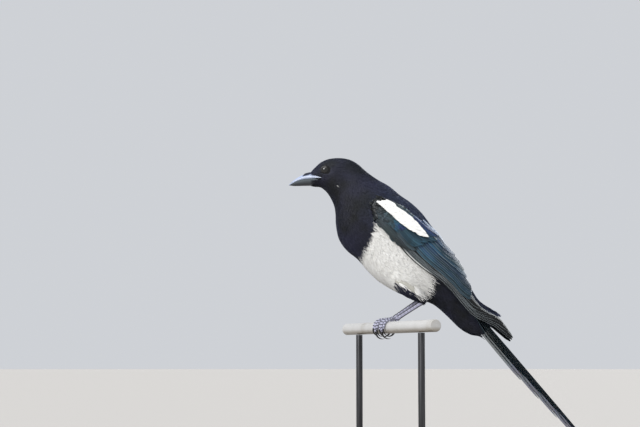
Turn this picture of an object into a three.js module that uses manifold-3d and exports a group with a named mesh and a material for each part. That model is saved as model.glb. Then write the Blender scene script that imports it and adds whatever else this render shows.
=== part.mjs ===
// A life-size Eurasian magpie on a cut length of painted rail, held up by a plain display stand.
// Millimetres, +Z up. The bird faces -X and its left side is towards -Y.
// The origin is the middle of the base's underside.
import * as THREE from "three";
import { mergeVertices } from "three/addons/utils/BufferGeometryUtils.js";
import Module from "manifold-3d";

const wasm = await Module();
wasm.setup();

// Gap kept between neighbouring pieces.
const GAP = 0.35;
const HALF_GAP = GAP / 2;
// Points of a joined piece lie on a grid this fine.
const GRID = 0.01;
// Least thickness of a feather vane.
const VANE_THICK = 0.55;
// Step from one overlapping vane to the next.
const VANE_STEP = 0.86;

// The stand and the perch.
const BASE_RADIUS = 95;
const BASE_HEIGHT = 12;
const BASE_BEVEL = 2;
const ROD_RADIUS = 3.5;
const ROD_SPREAD = 140;
const PERCH_RADIUS = 6.25;
const PERCH_LENGTH = 200;
const PERCH_TOP = 160;
const PERCH_BEVEL = 0.8;
// The rail runs across the bird at this angle from square, its near end towards the tail.
const PERCH_TURN = THREE.MathUtils.degToRad(25);
// How far the middle of the perch lies past the feet, towards the near end.
const PERCH_SHIFT = 8;

// The bird's own frame has its zero on the perch's top line. This is where it stands on the base.
const BIRD_X = -16;
const GRIP_X = 0.5;
const FEET_APART = 14;

// Ribs along the body from the bill's root to the tail, then on along the folded wings.
// back and belly are the ends of each rib in side view, and side is its reach to each side.
// bed is the reach, up and to the side, of the surface that the folded wings lie on.
const RIBS = [
  { back: [-79.5, 156.2], belly: [-80.6, 143.9], side: 5.6 },
  { back: [-72.8, 163.2], belly: [-74.4, 142.4], side: 8.8 },
  { back: [-66.2, 168.6], belly: [-68, 141.8], side: 12.2 },
  { back: [-57.6, 171.8], belly: [-62.6, 138.2], side: 15.2 },
  { back: [-47.3, 172.5], belly: [-58.2, 132.6], side: 17.2 },
  { back: [-37.4, 170.9], belly: [-55, 126.6], side: 18.4 },
  { back: [-28.6, 166.2], belly: [-52.8, 120.6], side: 19.8 },
  { back: [-18.6, 157.4], belly: [-51.7, 112.6], side: 22.6 },
  { back: [-7, 149.2], belly: [-51.2, 101], side: 25.6 },
  { back: [4.5, 142.6], belly: [-48, 86.5], side: 27.8 },
  { back: [16.3, 132.9], belly: [-40, 75], side: 28.8 },
  { back: [27.5, 125], belly: [-28.5, 65.5], side: 29 },
  { back: [38.8, 114.2], belly: [-17.6, 52.8], side: 28.6 },
  { back: [47.8, 102], belly: [-6, 42], side: 27.8 },
  { back: [55.8, 91.4], belly: [8, 33.8], side: 26 },
  { back: [63.4, 80], belly: [23, 27.4], side: 23.6, bed: [31.6, 25.8] },
  { back: [70.4, 68.4], belly: [38, 23], side: 20.6, bed: [27.6, 24.8] },
  { back: [77.4, 56.4], belly: [50.6, 18.2], side: 17.2, bed: [24.4, 23.6] },
  { back: [84, 44.6], belly: [60.4, 10.4], side: 14, bed: [21.6, 22.4] },
  { back: [91, 33.4], belly: [69.6, 1.6], side: 10.6, bed: [19.6, 21] },
  { back: [98.2, 22.4], belly: [79, -7.4], side: 7.8, bed: [17.6, 19.4] },
  { back: [108.6, 14.6], belly: [89.6, -13.4], side: 5.6, bed: [15.6, 17.4] },
  { back: [123.4, 4.6], belly: [102.4, -17.4], side: 4, bed: [13.8, 14.6] },
  { back: [142.6, -20], belly: [122, -38.4], side: 3, bed: [12.6, 11] },
];
// The last rib that the body itself reaches. Those after it only carry the folded wings.
const BODY_END = 21;
// How far the wings' bed stands off the body where a rib doesn't say.
const BED_GAP = 0.8;

const LEFT = -1;
const RIGHT = 1;
const SIDES = [
  { name: "left", side: LEFT },
  { name: "right", side: RIGHT },
];

const COLOURS = {
  black: [0x17191f, 0.55],
  gloss: [0x24414f, 0.4],
  white: [0xf2f4f2, 0.75],
  horn: [0x2c2e33, 0.35],
  eye: [0x120d0a, 0.1],
  scaly: [0x1d1e22, 0.5],
  paint: [0xd9d5cf, 0.45],
  wood: [0x2b1d15, 0.4],
  steel: [0x3b3c3e, 0.35],
};

// Solids and meshes

function solidOf(geometry) {
  const bare = geometry.clone();
  bare.deleteAttribute("normal");
  bare.deleteAttribute("uv");
  const merged = mergeVertices(bare, 1e-4);
  return new wasm.Manifold(
    new wasm.Mesh({
      numProp: 3,
      vertProperties: new Float32Array(merged.attributes.position.array),
      triVerts: new Uint32Array(merged.index.array),
    }),
  );
}

function biggest(solid) {
  return solid.decompose().reduce((a, b) => (b.volume() > a.volume() ? b : a));
}

// The largest closed surface of a solid, with its points set on a fine grid.
function largest(solid) {
  const geometry = geometryOf(biggest(solid));
  const values = geometry.attributes.position.array;
  values.forEach((value, i) => (values[i] = Math.round(value / GRID) * GRID));
  return biggest(solidOf(geometry));
}

function joined(solids) {
  return solids.reduce((a, b) => a.add(b));
}

function geometryOf(solid) {
  const made = solid.getMesh();
  const count = made.vertProperties.length / made.numProp;
  const positions = new Float32Array(count * 3);
  for (let i = 0; i < count; i++) {
    const from = i * made.numProp;
    positions.set(made.vertProperties.subarray(from, from + 3), i * 3);
  }
  const geometry = new THREE.BufferGeometry();
  geometry.setAttribute("position", new THREE.BufferAttribute(positions, 3));
  geometry.setIndex(new THREE.BufferAttribute(made.triVerts, 1));
  return geometry;
}

function meshOf(name, solid, [color, roughness], metalness = 0) {
  const geometry = geometryOf(solid);
  geometry.computeVertexNormals();
  const material = new THREE.MeshStandardMaterial({ color, roughness, metalness });
  const mesh = new THREE.Mesh(geometry, material);
  mesh.name = name;
  return mesh;
}

// A closed skin over rings of equal count, each ring going round the same way, with flat ends.
// The second half of each ring is cut into triangles as the first half is, seen through the piece.
function ringSkin(rings) {
  const around = rings[0].length;
  const points = rings.flat();
  const faces = [];
  for (let r = 0; r + 1 < rings.length; r++) {
    for (let i = 0; i < around; i++) {
      const a = r * around + i;
      const b = r * around + ((i + 1) % around);
      if (i < around / 2) faces.push(a, b, a + around, b, b + around, a + around);
      else faces.push(a, b, b + around, a, b + around, a + around);
    }
  }
  const last = (rings.length - 1) * around;
  for (let i = 1; i + 1 < around; i++) {
    faces.push(0, i + 1, i);
    faces.push(last, last + i, last + i + 1);
  }
  const geometry = new THREE.BufferGeometry().setFromPoints(points);
  geometry.setIndex(faces);
  const solid = solidOf(geometry);
  if (solid.volume() > 0) return solid;
  return ringSkin(rings.map((ring) => [...ring].reverse()));
}

// A tube along a list of points, with a radius at each. flat is its width as a share of its depth.
function taperedTube(points, radii, sides, flat = 1) {
  const up = new THREE.Vector3(0, 1, 0);
  const rings = points.map((point, i) => {
    const next = points[Math.min(i + 1, points.length - 1)];
    const previous = points[Math.max(i - 1, 0)];
    const along = next.clone().sub(previous).normalize();
    const across = new THREE.Vector3().crossVectors(up, along).normalize();
    const raised = new THREE.Vector3().crossVectors(along, across).normalize();
    return [...Array(sides).keys()].map((k) => {
      const angle = (2 * Math.PI * k) / sides;
      return point
        .clone()
        .addScaledVector(across, radii[i] * Math.cos(angle))
        .addScaledVector(raised, radii[i] * flat * Math.sin(angle));
    });
  });
  return ringSkin(rings);
}

// The body's line and reach, by distance along it

function ribCurve(valuesOf) {
  const points = RIBS.map((rib) => new THREE.Vector3(...valuesOf(rib)));
  return new THREE.CatmullRomCurve3(points, false, "catmullrom");
}

function ribHeight({ back, belly }) {
  return Math.hypot(back[0] - belly[0], back[1] - belly[1]);
}

function bedOf(rib) {
  return rib.bed ?? [ribHeight(rib) / 2 + BED_GAP, rib.side + BED_GAP];
}

const middleLine = ribCurve(({ back, belly }) => [(back[0] + belly[0]) / 2, 0, (back[1] + belly[1]) / 2]);
const backLine = ribCurve(({ back }) => [back[0], 0, back[1]]);
const bellyLine = ribCurve(({ belly }) => [belly[0], 0, belly[1]]);
const sideLine = ribCurve(({ side }) => [0, side, 0]);
const bedLine = ribCurve((rib) => [...bedOf(rib), 0]);
const LENGTH_STEPS = 2400;
const lengths = middleLine.getLengths(LENGTH_STEPS);

function lengthAtRib(index) {
  return lengths[Math.round((index / (RIBS.length - 1)) * LENGTH_STEPS)];
}

// The rib at a distance along the body, with its centre and its unit direction up the bird.
function ribAt(distance) {
  let low = 0;
  let high = LENGTH_STEPS;
  while (high - low > 1) {
    const middle = (low + high) >> 1;
    if (lengths[middle] < distance) low = middle;
    else high = middle;
  }
  const share = (distance - lengths[low]) / (lengths[high] - lengths[low]);
  const t = Math.min(1, (low + share) / LENGTH_STEPS);
  const back = backLine.getPoint(t);
  const belly = bellyLine.getPoint(t);
  const bed = bedLine.getPoint(t);
  return {
    centre: back.clone().add(belly).multiplyScalar(0.5),
    up: back.clone().sub(belly).normalize(),
    height: back.distanceTo(belly) / 2,
    side: sideLine.getPoint(t).y,
    bedUp: bed.x,
    bedSide: bed.y,
  };
}

// The direction along the body, at a distance along it.
function alongBody(distance) {
  const step = 1;
  return ribAt(distance + step).centre.sub(ribAt(distance - step).centre).normalize();
}

// A point of the body's surface. The angle is 0 on the back and half a turn on the belly.
function bodyPoint(distance, angle, grow = 0) {
  const rib = ribAt(distance);
  return rib.centre
    .addScaledVector(rib.up, (rib.height + grow) * Math.cos(angle))
    .add(new THREE.Vector3(0, (rib.side + grow) * Math.sin(angle), 0));
}

// A point over the wing's bed: distance along the body, girth up from its widest line, and height.
function bedPoint(side, distance, girth, height) {
  const rib = ribAt(distance);
  const angle = (2 * girth) / (rib.bedUp + rib.bedSide);
  return rib.centre
    .addScaledVector(rib.up, (rib.bedUp + height) * Math.sin(angle))
    .add(new THREE.Vector3(0, side * (rib.bedSide + height) * Math.cos(angle), 0));
}

const BODY_LENGTH = lengthAtRib(BODY_END);
const BODY_SIDES = 28;
const BODY_RING_STEP = 6.5;

function bodySkin(grow = 0) {
  const steps = Math.ceil(BODY_LENGTH / BODY_RING_STEP);
  const rings = [];
  for (let i = 0; i <= steps; i++) {
    const ring = [...Array(BODY_SIDES).keys()].map((k) =>
      bodyPoint((BODY_LENGTH * i) / steps, (2 * Math.PI * k) / BODY_SIDES, grow),
    );
    rings.push(ring);
  }
  return ringSkin(rings);
}

// A block that fills one side of a plane across the body.
const HALF_SPACE = 600;
function halfSpace(point, normal) {
  const block = new THREE.BoxGeometry(HALF_SPACE, HALF_SPACE, HALF_SPACE);
  block.translate(0, 0, HALF_SPACE / 2 + HALF_GAP);
  const turn = new THREE.Quaternion().setFromUnitVectors(
    new THREE.Vector3(0, 0, 1),
    normal.clone().normalize(),
  );
  block.applyQuaternion(turn);
  block.translate(point.x, point.y, point.z);
  return solidOf(block);
}

function parted(solid, point, normal) {
  return [
    solid.intersect(halfSpace(point, normal.clone().negate())),
    solid.intersect(halfSpace(point, normal)),
  ];
}

// Head, with its lids, bristles, bill and eyes

const EYE = { x: -62.6, y: 9.4, z: 158.8, radius: 4.8, around: 14, rows: 8 };
// The lids are a soft ring round the eye, turned to face a little forward.
const LIDS = { radius: 4.1, thick: 1, out: 3, turn: THREE.MathUtils.degToRad(12) };

function eyeBall(side, grow) {
  const ball = new THREE.SphereGeometry(EYE.radius + grow, EYE.around, EYE.rows);
  ball.translate(EYE.x, side * EYE.y, EYE.z);
  return solidOf(ball);
}

function lids(side) {
  const ring = new THREE.TorusGeometry(LIDS.radius, LIDS.thick, 6, EYE.around);
  ring.rotateX(Math.PI / 2);
  ring.rotateZ(side * -LIDS.turn);
  ring.translate(EYE.x, side * (EYE.y + LIDS.out), EYE.z);
  return solidOf(ring);
}

// The bill's stations from its root to its tip: the culmen, the cutting edge and the lower edge.
const BILL = [
  { x: -66.5, top: 154, edge: 150.9, under: 145.6, half: 11.4 },
  { x: -72, top: 156.4, edge: 150.9, under: 143.9, half: 9.5 },
  { x: -78.5, top: 157, edge: 150.7, under: 143.2, half: 6.6 },
  { x: -85, top: 155.4, edge: 150.2, under: 143.1, half: 4.5 },
  { x: -91, top: 152.4, edge: 148.8, under: 143, half: 3.1 },
  { x: -96, top: 149, edge: 146.8, under: 143, half: 2 },
  { x: -99.2, top: 145.8, edge: 144.9, under: 143.3, half: 1 },
];
const BILL_TIP = { x: -101, z: 143.8, half: 0.35, thick: 0.7 };

// A section of one half of the bill, arched away from the cutting edge.
function billRing(x, edge, outer, half) {
  const arch = outer - edge;
  const share = [
    [-1, 0],
    [-0.94, 0.35],
    [-0.66, 0.76],
    [-0.26, 0.97],
    [0.26, 0.97],
    [0.66, 0.76],
    [0.94, 0.35],
    [1, 0],
  ];
  return share.map(([y, z]) => new THREE.Vector3(x, y * half, edge + z * arch));
}

function billUpper(grow = 0) {
  const rings = BILL.map((b) =>
    billRing(b.x, b.edge + HALF_GAP - grow, b.top + grow, b.half + grow),
  );
  const { x, z, half, thick } = BILL_TIP;
  rings.push(billRing(x, z, z + thick + grow, half + grow));
  return ringSkin(rings);
}

// The lower half is this much narrower than the upper.
const LOWER_WIDTH = 0.93;

function billLower(grow = 0) {
  const rings = BILL.map((b) =>
    billRing(b.x, b.edge - HALF_GAP + grow, b.under - grow, b.half * LOWER_WIDTH + grow),
  );
  return ringSkin(rings);
}

// The bristles that lie forward over the nostrils: on each side a fan of flat tapered locks.
// A lock keeps to one angle up the arch of the bill and lies a little off it.
const BRISTLES = {
  count: 4,
  root: -70,
  low: -84.5,
  high: -80.5,
  from: 20,
  to: 74,
  half: 1.8,
  thick: 0.85,
  off: 0.8,
};
const BRISTLE_TAPER = [0.4, 1.1, 0.8, 0.2];

// The bill's measures at any place along it.
function billAt(x) {
  const next = Math.max(1, BILL.findIndex((b) => b.x <= x));
  const [a, b] = [BILL[next - 1], BILL[next]];
  const share = (x - a.x) / (b.x - a.x);
  const blend = (name) => THREE.MathUtils.lerp(a[name], b[name], share);
  return { top: blend("top"), edge: blend("edge"), half: blend("half") };
}

function bristle(side, share) {
  const angle = THREE.MathUtils.degToRad(THREE.MathUtils.lerp(BRISTLES.from, BRISTLES.to, share));
  const tip = THREE.MathUtils.lerp(BRISTLES.low, BRISTLES.high, share);
  const outward = new THREE.Vector3(0, side * Math.cos(angle), Math.sin(angle));
  const sideways = new THREE.Vector3(0, -side * Math.sin(angle), Math.cos(angle));
  const rings = BRISTLE_TAPER.map((wide, i) => {
    const x = THREE.MathUtils.lerp(BRISTLES.root, tip, i / (BRISTLE_TAPER.length - 1));
    const { top, edge, half } = billAt(x);
    const up = edge + (top - edge) * Math.sin(angle);
    const middle = new THREE.Vector3(x, side * half * Math.cos(angle), up);
    middle.addScaledVector(outward, BRISTLES.off);
    return [...Array(6).keys()].map((k) =>
      middle
        .clone()
        .addScaledVector(outward, BRISTLES.thick * wide * Math.cos((k * Math.PI) / 3))
        .addScaledVector(sideways, BRISTLES.half * wide * Math.sin((k * Math.PI) / 3)),
    );
  });
  return ringSkin(rings);
}

function bristles() {
  const locks = [];
  for (const { side } of SIDES) {
    for (let i = 0; i < BRISTLES.count; i++) {
      locks.push(bristle(side, i / (BRISTLES.count - 1)));
    }
  }
  return joined(locks);
}

// The line of the mouth, which runs on from the bill into the feathers.
const MOUTH = { from: -74, to: -63.5, z: 150.7, half: 0.45, wide: 2.4, out: 11.6 };

function mouthLine(side) {
  const groove = new THREE.SphereGeometry(1, 12, 6);
  groove.scale((MOUTH.to - MOUTH.from) / 2, MOUTH.wide, MOUTH.half);
  groove.translate((MOUTH.from + MOUTH.to) / 2, side * MOUTH.out, MOUTH.z);
  return solidOf(groove);
}

// Vanes: flat feathers with a square edge, laid over the wing's bed

// Share of the full width at each share of the length, from the root to a round tip.
const VANE_OUTLINE = [
  [0, 0.4],
  [0.3, 0.86],
  [0.65, 1],
  [0.88, 0.86],
  [0.96, 0.56],
  [1, 0.2],
];

// A vane from root to tip over the bed. Its lower edge stands prouder than its upper edge by lift.
function bedVane(side, vane, grow = 0) {
  const { root, tip, width, lift } = vane;
  const rings = VANE_OUTLINE.map(([along, wide]) => {
    const past = along === 0 ? -grow : grow * (along === 1);
    const distance = THREE.MathUtils.lerp(root.along, tip.along, along) + past;
    const girth = THREE.MathUtils.lerp(root.girth, tip.girth, along);
    const height = THREE.MathUtils.lerp(root.height, tip.height, along) - grow;
    const half = (width / 2) * wide + grow;
    const tilt = (lift / 2) * wide;
    const thick = VANE_THICK + 2 * grow;
    return [
      bedPoint(side, distance, girth - half, height + tilt),
      bedPoint(side, distance, girth + half, height - tilt),
      bedPoint(side, distance, girth + half, height - tilt + thick),
      bedPoint(side, distance, girth - half, height + tilt + thick),
    ];
  });
  return ringSkin(rings);
}

// A row of vanes between its first and last, which are given in full.
function vaneRow(count, first, last) {
  const blend = (a, b, share) =>
    typeof a === "number"
      ? THREE.MathUtils.lerp(a, b, share)
      : Object.fromEntries(Object.keys(a).map((k) => [k, blend(a[k], b[k], share)]));
  return [...Array(count).keys()].map((i) => blend(first, last, i / (count - 1)));
}

// The folded arm under its small coverts: an egg lying over the bed, blunt at the wrist.
const ARM = { along: 112, front: 34, back: 34, girth: 12.5, low: 13.5, high: 16, tall: 6, deep: 3 };

function foldedArm(side) {
  const egg = new THREE.SphereGeometry(1, 18, 10);
  egg.rotateZ(Math.PI / 2);
  const position = egg.attributes.position;
  for (let i = 0; i < position.count; i++) {
    const x = position.getX(i);
    const y = position.getY(i);
    const z = position.getZ(i);
    const distance = ARM.along + x * (x < 0 ? ARM.front : ARM.back);
    const girth = ARM.girth + y * (y < 0 ? ARM.low : ARM.high);
    const height = z * (z > 0 ? ARM.tall : ARM.deep);
    const point = bedPoint(side, distance, girth, height);
    position.setXYZ(i, point.x, point.y, point.z);
  }
  const solid = solidOf(egg);
  if (solid.volume() > 0) return solid;
  const turned = egg.clone();
  turned.setIndex([...egg.index.array].reverse());
  return solidOf(turned);
}

// The wing's rows, each from its lowest and outermost vane to its highest and innermost.
const OUTER_PRIMARIES = vaneRow(
  3,
  {
    root: { along: 120, girth: 0.8, height: 0.8 },
    tip: { along: 214, girth: 1.6, height: 0.8 },
    width: 7.5,
    lift: 1.8,
  },
  {
    root: { along: 122, girth: 2.8, height: 1.6 },
    tip: { along: 284, girth: 5, height: 1.4 },
    width: 9.5,
    lift: 2.2,
  },
);
const INNER_PRIMARIES = vaneRow(
  4,
  {
    root: { along: 123, girth: 3.4, height: 2.3 },
    tip: { along: 280, girth: 7.4, height: 2.2 },
    width: 9.5,
    lift: 2.2,
  },
  {
    root: { along: 127, girth: 5.6, height: 4.1 },
    tip: { along: 238, girth: 10, height: 4 },
    width: 9.5,
    lift: 2.2,
  },
);
const SECONDARIES = vaneRow(
  5,
  {
    root: { along: 128, girth: 9.4, height: 4.8 },
    tip: { along: 224, girth: 8.4, height: 4.9 },
    width: 12,
    lift: 3.4,
  },
  {
    root: { along: 130, girth: 19, height: 5.2 },
    tip: { along: 216, girth: 18, height: 5.1 },
    width: 12.5,
    lift: 3.6,
  },
);
const TERTIALS = vaneRow(
  3,
  {
    root: { along: 130, girth: 22.4, height: 5.3 },
    tip: { along: 206, girth: 22.4, height: 5.2 },
    width: 13.5,
    lift: 3.6,
  },
  {
    root: { along: 130, girth: 29.5, height: 5.3 },
    tip: { along: 184, girth: 30.5, height: 5.2 },
    width: 13.5,
    lift: 3.6,
  },
);
const PRIMARY_COVERTS = vaneRow(
  3,
  {
    root: { along: 106, girth: 1.2, height: 3 },
    tip: { along: 138, girth: 1.6, height: 4.2 },
    width: 6,
    lift: 1.6,
  },
  {
    root: { along: 112, girth: 5.6, height: 4 },
    tip: { along: 146, girth: 6, height: 6.4 },
    width: 7,
    lift: 1.9,
  },
);
const GREATER_COVERTS = vaneRow(
  6,
  {
    root: { along: 116, girth: 8, height: 5 },
    tip: { along: 145, girth: 8.2, height: 7.8 },
    width: 6.8,
    lift: 1.9,
  },
  {
    root: { along: 120, girth: 25, height: 5 },
    tip: { along: 154, girth: 26.5, height: 8.4 },
    width: 7.4,
    lift: 2,
  },
);

const WING_VANES = [
  ...OUTER_PRIMARIES,
  ...INNER_PRIMARIES,
  ...SECONDARIES,
  ...TERTIALS,
  ...PRIMARY_COVERTS,
  ...GREATER_COVERTS,
];

// The white scapulars, which lie over the shoulder.
const SCAPULARS = vaneRow(
  4,
  {
    root: { along: 83, girth: 12.2, height: 5.2 },
    tip: { along: 125, girth: 12.9, height: 9.2 },
    width: 4.6,
    lift: 2.2,
  },
  {
    root: { along: 86, girth: 17.2, height: 5.8 },
    tip: { along: 147, girth: 18.8, height: 11 },
    width: 5.2,
    lift: 2.4,
  },
);

function scapulars(side, grow = 0) {
  return joined(SCAPULARS.map((vane) => bedVane(side, vane, grow)));
}

function wing(side, body) {
  const vanes = WING_VANES.map((vane) => bedVane(side, vane));
  const whole = joined([foldedArm(side), ...vanes]);
  return largest(whole.subtract(body).subtract(scapulars(side, GAP)));
}

// Tail: twelve feathers, the middle pair longest and on top

const TAIL = {
  root: [72, 0, 39],
  drop: THREE.MathUtils.degToRad(50),
  length: 245,
  hidden: 24,
  width: 25,
  rootWidth: 8,
  ranks: [1, 0.93, 0.83, 0.72, 0.61, 0.5],
  spread: [0.8, 1.9, 3, 4.1, 5.2, 6.4],
};
const TAIL_CUT = lengthAtRib(18) + 4;

function tailFeather(side, rank, layer) {
  const tangent = new THREE.Vector3(Math.cos(TAIL.drop), 0, -Math.sin(TAIL.drop));
  const normal = new THREE.Vector3(Math.sin(TAIL.drop), 0, Math.cos(TAIL.drop));
  const angle = side * THREE.MathUtils.degToRad(TAIL.spread[rank]);
  const from = new THREE.Vector3(...TAIL.root);
  const forward = tangent.clone().multiplyScalar(Math.cos(angle));
  forward.y = Math.sin(angle);
  const across = new THREE.Vector3().crossVectors(forward, normal).normalize();
  const rings = VANE_OUTLINE.map(([along, wide]) => {
    const half = (Math.max(TAIL.rootWidth, TAIL.width * wide) / 2) * (along < 0.9 ? 1 : wide);
    const sink = -0.5 - layer * VANE_STEP * Math.min(1, 0.25 + along * 2);
    const middle = from
      .clone()
      .addScaledVector(forward, TAIL.hidden + (TAIL.length * TAIL.ranks[rank] - TAIL.hidden) * along)
      .addScaledVector(normal, sink);
    return [
      middle.clone().addScaledVector(across, -half),
      middle.clone().addScaledVector(across, half),
      middle.clone().addScaledVector(across, half).addScaledVector(normal, VANE_THICK),
      middle.clone().addScaledVector(across, -half).addScaledVector(normal, VANE_THICK),
    ];
  });
  return ringSkin(rings);
}

function tail() {
  const feathers = [];
  TAIL.ranks.forEach((_, rank) => {
    feathers.push(tailFeather(LEFT, rank, rank * 2));
    feathers.push(tailFeather(RIGHT, rank, rank * 2 + 1));
  });
  return largest(joined(feathers));
}

// The slot between the upper and the lower tail coverts, where the tail comes out.
const SLOT = { room: 1, length: 120, width: 80, above: VANE_THICK + GAP - 0.5, below: 10 };

function tailSlot() {
  const tall = SLOT.above + SLOT.below;
  const slot = new THREE.BoxGeometry(SLOT.length, SLOT.width, tall);
  slot.translate(TAIL.hidden - SLOT.room + SLOT.length / 2, 0, SLOT.above - tall / 2);
  slot.rotateY(TAIL.drop);
  slot.translate(...TAIL.root);
  return solidOf(slot);
}

// Legs and feet

const alongPerch = new THREE.Vector3(Math.sin(PERCH_TURN), -Math.cos(PERCH_TURN), 0);
const forwardOfPerch = new THREE.Vector3(-Math.cos(PERCH_TURN), -Math.sin(PERCH_TURN), 0);
const perchAxis = new THREE.Vector3(GRIP_X, 0, -PERCH_RADIUS);
// The foot's joint lies behind the middle of the perch, where the shank meets the toes.
const LEGS = {
  left: { knee: [14, -12.6, 44.5], ankle: [40, -13, 21], behind: 10 },
  right: { knee: [14, 12.6, 47.5], ankle: [41, 13, 26], behind: 12 },
};
const JOINT_ABOVE = 3.4;
// How far up the leg from the foot's joint the shank starts.
const SHANK_START = 1.8;
// Radii at shares of the way up the bare shank, and down the feathered thigh from the knee.
const SHANK_SHARES = [0, 0.12, 0.3, 0.6, 0.85, 0.95, 1];
const SHANK_RADII = [2.3, 2.2, 2.15, 2.2, 2.4, 2.8, 2.4];
// The shank is narrower from the front than from the side.
const SHANK_FLAT = 0.72;
const THIGH_SHARES = [-0.24, -0.14, 0, 0.25, 0.5, 0.75, 1];
const THIGH_RADII = [4.2, 8, 9.8, 10.2, 9, 6.4, 3.4];
// The thigh's feathers end this far short of the ankle.
const ANKLE_BARE = 0.54;

function gripOf(side) {
  return perchAxis.clone().addScaledVector(alongPerch, (-side * FEET_APART) / 2);
}

// A point round the perch: the angle is 0 on top and grows towards the front.
function roundPerch(grip, angle, out, sideways) {
  return grip
    .clone()
    .addScaledVector(forwardOfPerch, out * Math.sin(angle))
    .add(new THREE.Vector3(0, 0, out * Math.cos(angle)))
    .addScaledVector(alongPerch, sideways);
}

// Each toe runs from the foot's joint to the perch, bends round it between two angles and ends straight.
const TOES = [
  { name: "inner", from: 4, sweep: 84, sideways: 3.8, straight: 3, radius: 1.6, claw: 11 },
  { name: "middle", from: 6, sweep: 97, sideways: 0, straight: 3.6, radius: 1.8, claw: 14 },
  { name: "outer", from: 4, sweep: 80, sideways: -4.4, straight: 3, radius: 1.5, claw: 10 },
  { name: "hind", from: -86, sweep: -104, sideways: 2, straight: 1.5, radius: 1.9, claw: 13 },
];
const REACH_STEPS = 3;
const BEND_STEPS = 5;
// Room between the perch and the toes, whose pads swell past their radius.
const GRIP_GAP = 0.45;
const TOE_PADS = { swell: 1.1, waist: 0.94, taper: 0.28 };
const CLAW_STEPS = 5;
const CLAW_ROOT = 0.66;
const CLAW_TIP = 0.3;
const CLAW_BEND = THREE.MathUtils.degToRad(100);

function footJoint(side, name) {
  return gripOf(side)
    .addScaledVector(forwardOfPerch, -LEGS[name].behind)
    .add(new THREE.Vector3(0, 0, PERCH_RADIUS + JOINT_ABOVE));
}

// The middle line of a toe, and the way that it points at its end.
function toeLine(side, name, toe) {
  const grip = gripOf(side);
  const out = PERCH_RADIUS + GRIP_GAP + toe.radius;
  const steps = REACH_STEPS + BEND_STEPS;
  const bent = (i) => {
    const angle = THREE.MathUtils.lerp(toe.from, toe.sweep, Math.max(0, i - REACH_STEPS) / BEND_STEPS);
    const aside = side * toe.sideways * Math.min(1, i / REACH_STEPS);
    return roundPerch(grip, THREE.MathUtils.degToRad(angle), out, aside);
  };
  const joint = footJoint(side, name);
  const points = [...Array(steps + 1).keys()].map((i) =>
    i < REACH_STEPS ? joint.clone().lerp(bent(i), i / REACH_STEPS) : bent(i),
  );
  const end = points[steps];
  const heading = end.clone().sub(points[steps - 1]).normalize();
  points.push(end.clone().addScaledVector(heading, toe.straight));
  return { points, heading };
}

function toeSolid(side, name, toe) {
  const { points } = toeLine(side, name, toe);
  const radii = points.map((_, i) => {
    const pad = i % 3 === 2 ? TOE_PADS.swell : TOE_PADS.waist;
    return toe.radius * pad * (1 - (TOE_PADS.taper * i) / points.length);
  });
  return perchTube(points, radii, 6);
}

// A tube whose sides stay square to the perch, so that it doesn't twist.
function perchTube(points, radii, sides) {
  const rings = points.map((point, i) => {
    const next = points[Math.min(i + 1, points.length - 1)];
    const previous = points[Math.max(i - 1, 0)];
    const along = next.clone().sub(previous).normalize();
    const raised = new THREE.Vector3().crossVectors(along, alongPerch).normalize();
    const across = new THREE.Vector3().crossVectors(raised, along).normalize();
    return [...Array(sides).keys()].map((k) => {
      const angle = (2 * Math.PI * k) / sides;
      return point
        .clone()
        .addScaledVector(across, radii[i] * Math.cos(angle))
        .addScaledVector(raised, radii[i] * Math.sin(angle));
    });
  });
  return ringSkin(rings);
}

// A claw goes on from its toe and curls in under the perch.
function claw(side, name, toe) {
  const { points, heading } = toeLine(side, name, toe);
  const start = points[points.length - 1].clone().addScaledVector(heading, GAP);
  const inward = new THREE.Vector3().crossVectors(heading, alongPerch).normalize();
  if (inward.dot(forwardOfPerch) * toe.sweep > 0) inward.negate();
  const bend = toe.claw / CLAW_BEND;
  const line = [];
  const radii = [];
  for (let i = 0; i <= CLAW_STEPS; i++) {
    const share = i / CLAW_STEPS;
    const angle = CLAW_BEND * share;
    line.push(
      start
        .clone()
        .addScaledVector(heading, bend * Math.sin(angle))
        .addScaledVector(inward, bend * (1 - Math.cos(angle))),
    );
    radii.push(THREE.MathUtils.lerp(toe.radius * CLAW_ROOT, CLAW_TIP, Math.pow(share, 1.3)));
  }
  return perchTube(line, radii, 6);
}

// The pad round the foot's joint, where the toes meet.
const PAD = { long: 3.6, wide: 3, tall: 2.6 };

function footBall(side, name) {
  const ball = new THREE.SphereGeometry(1, 8, 6);
  ball.scale(PAD.long, PAD.wide, PAD.tall);
  ball.translate(...footJoint(side, name));
  return solidOf(ball);
}

function foot(side, name) {
  const whole = joined([footBall(side, name), ...TOES.map((toe) => toeSolid(side, name, toe))]);
  return largest(whole.subtract(shank(side, name, GAP)));
}

function shankLine(side, name) {
  const joint = footJoint(side, name);
  const high = new THREE.Vector3(...LEGS[name].ankle);
  const up = high.clone().sub(joint).normalize();
  return { low: joint.addScaledVector(up, SHANK_START), high };
}

function shank(side, name, grow = 0) {
  const { low, high } = shankLine(side, name);
  const along = high.clone().sub(low).normalize();
  const points = SHANK_SHARES.map((share) => low.clone().lerp(high, share));
  points[0].addScaledVector(along, -grow);
  points[points.length - 1].addScaledVector(along, grow);
  const radii = SHANK_RADII.map((radius) => radius + grow);
  return taperedTube(points, radii, 8, SHANK_FLAT);
}

function thigh(side, name) {
  const knee = new THREE.Vector3(...LEGS[name].knee);
  const { low, high } = shankLine(side, name);
  const toward = low.clone().sub(high).normalize();
  const end = high.clone().addScaledVector(toward, -ANKLE_BARE);
  const points = THIGH_SHARES.map((share) => knee.clone().lerp(end, share));
  return taperedTube(points, THIGH_RADII, 12);
}

// The bird

// Where the body is parted, by distance along it.
const HEAD_END = 40;
const NECK_END = 62;
const FLANK = 140;
const BELLY_END = 176;
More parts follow.
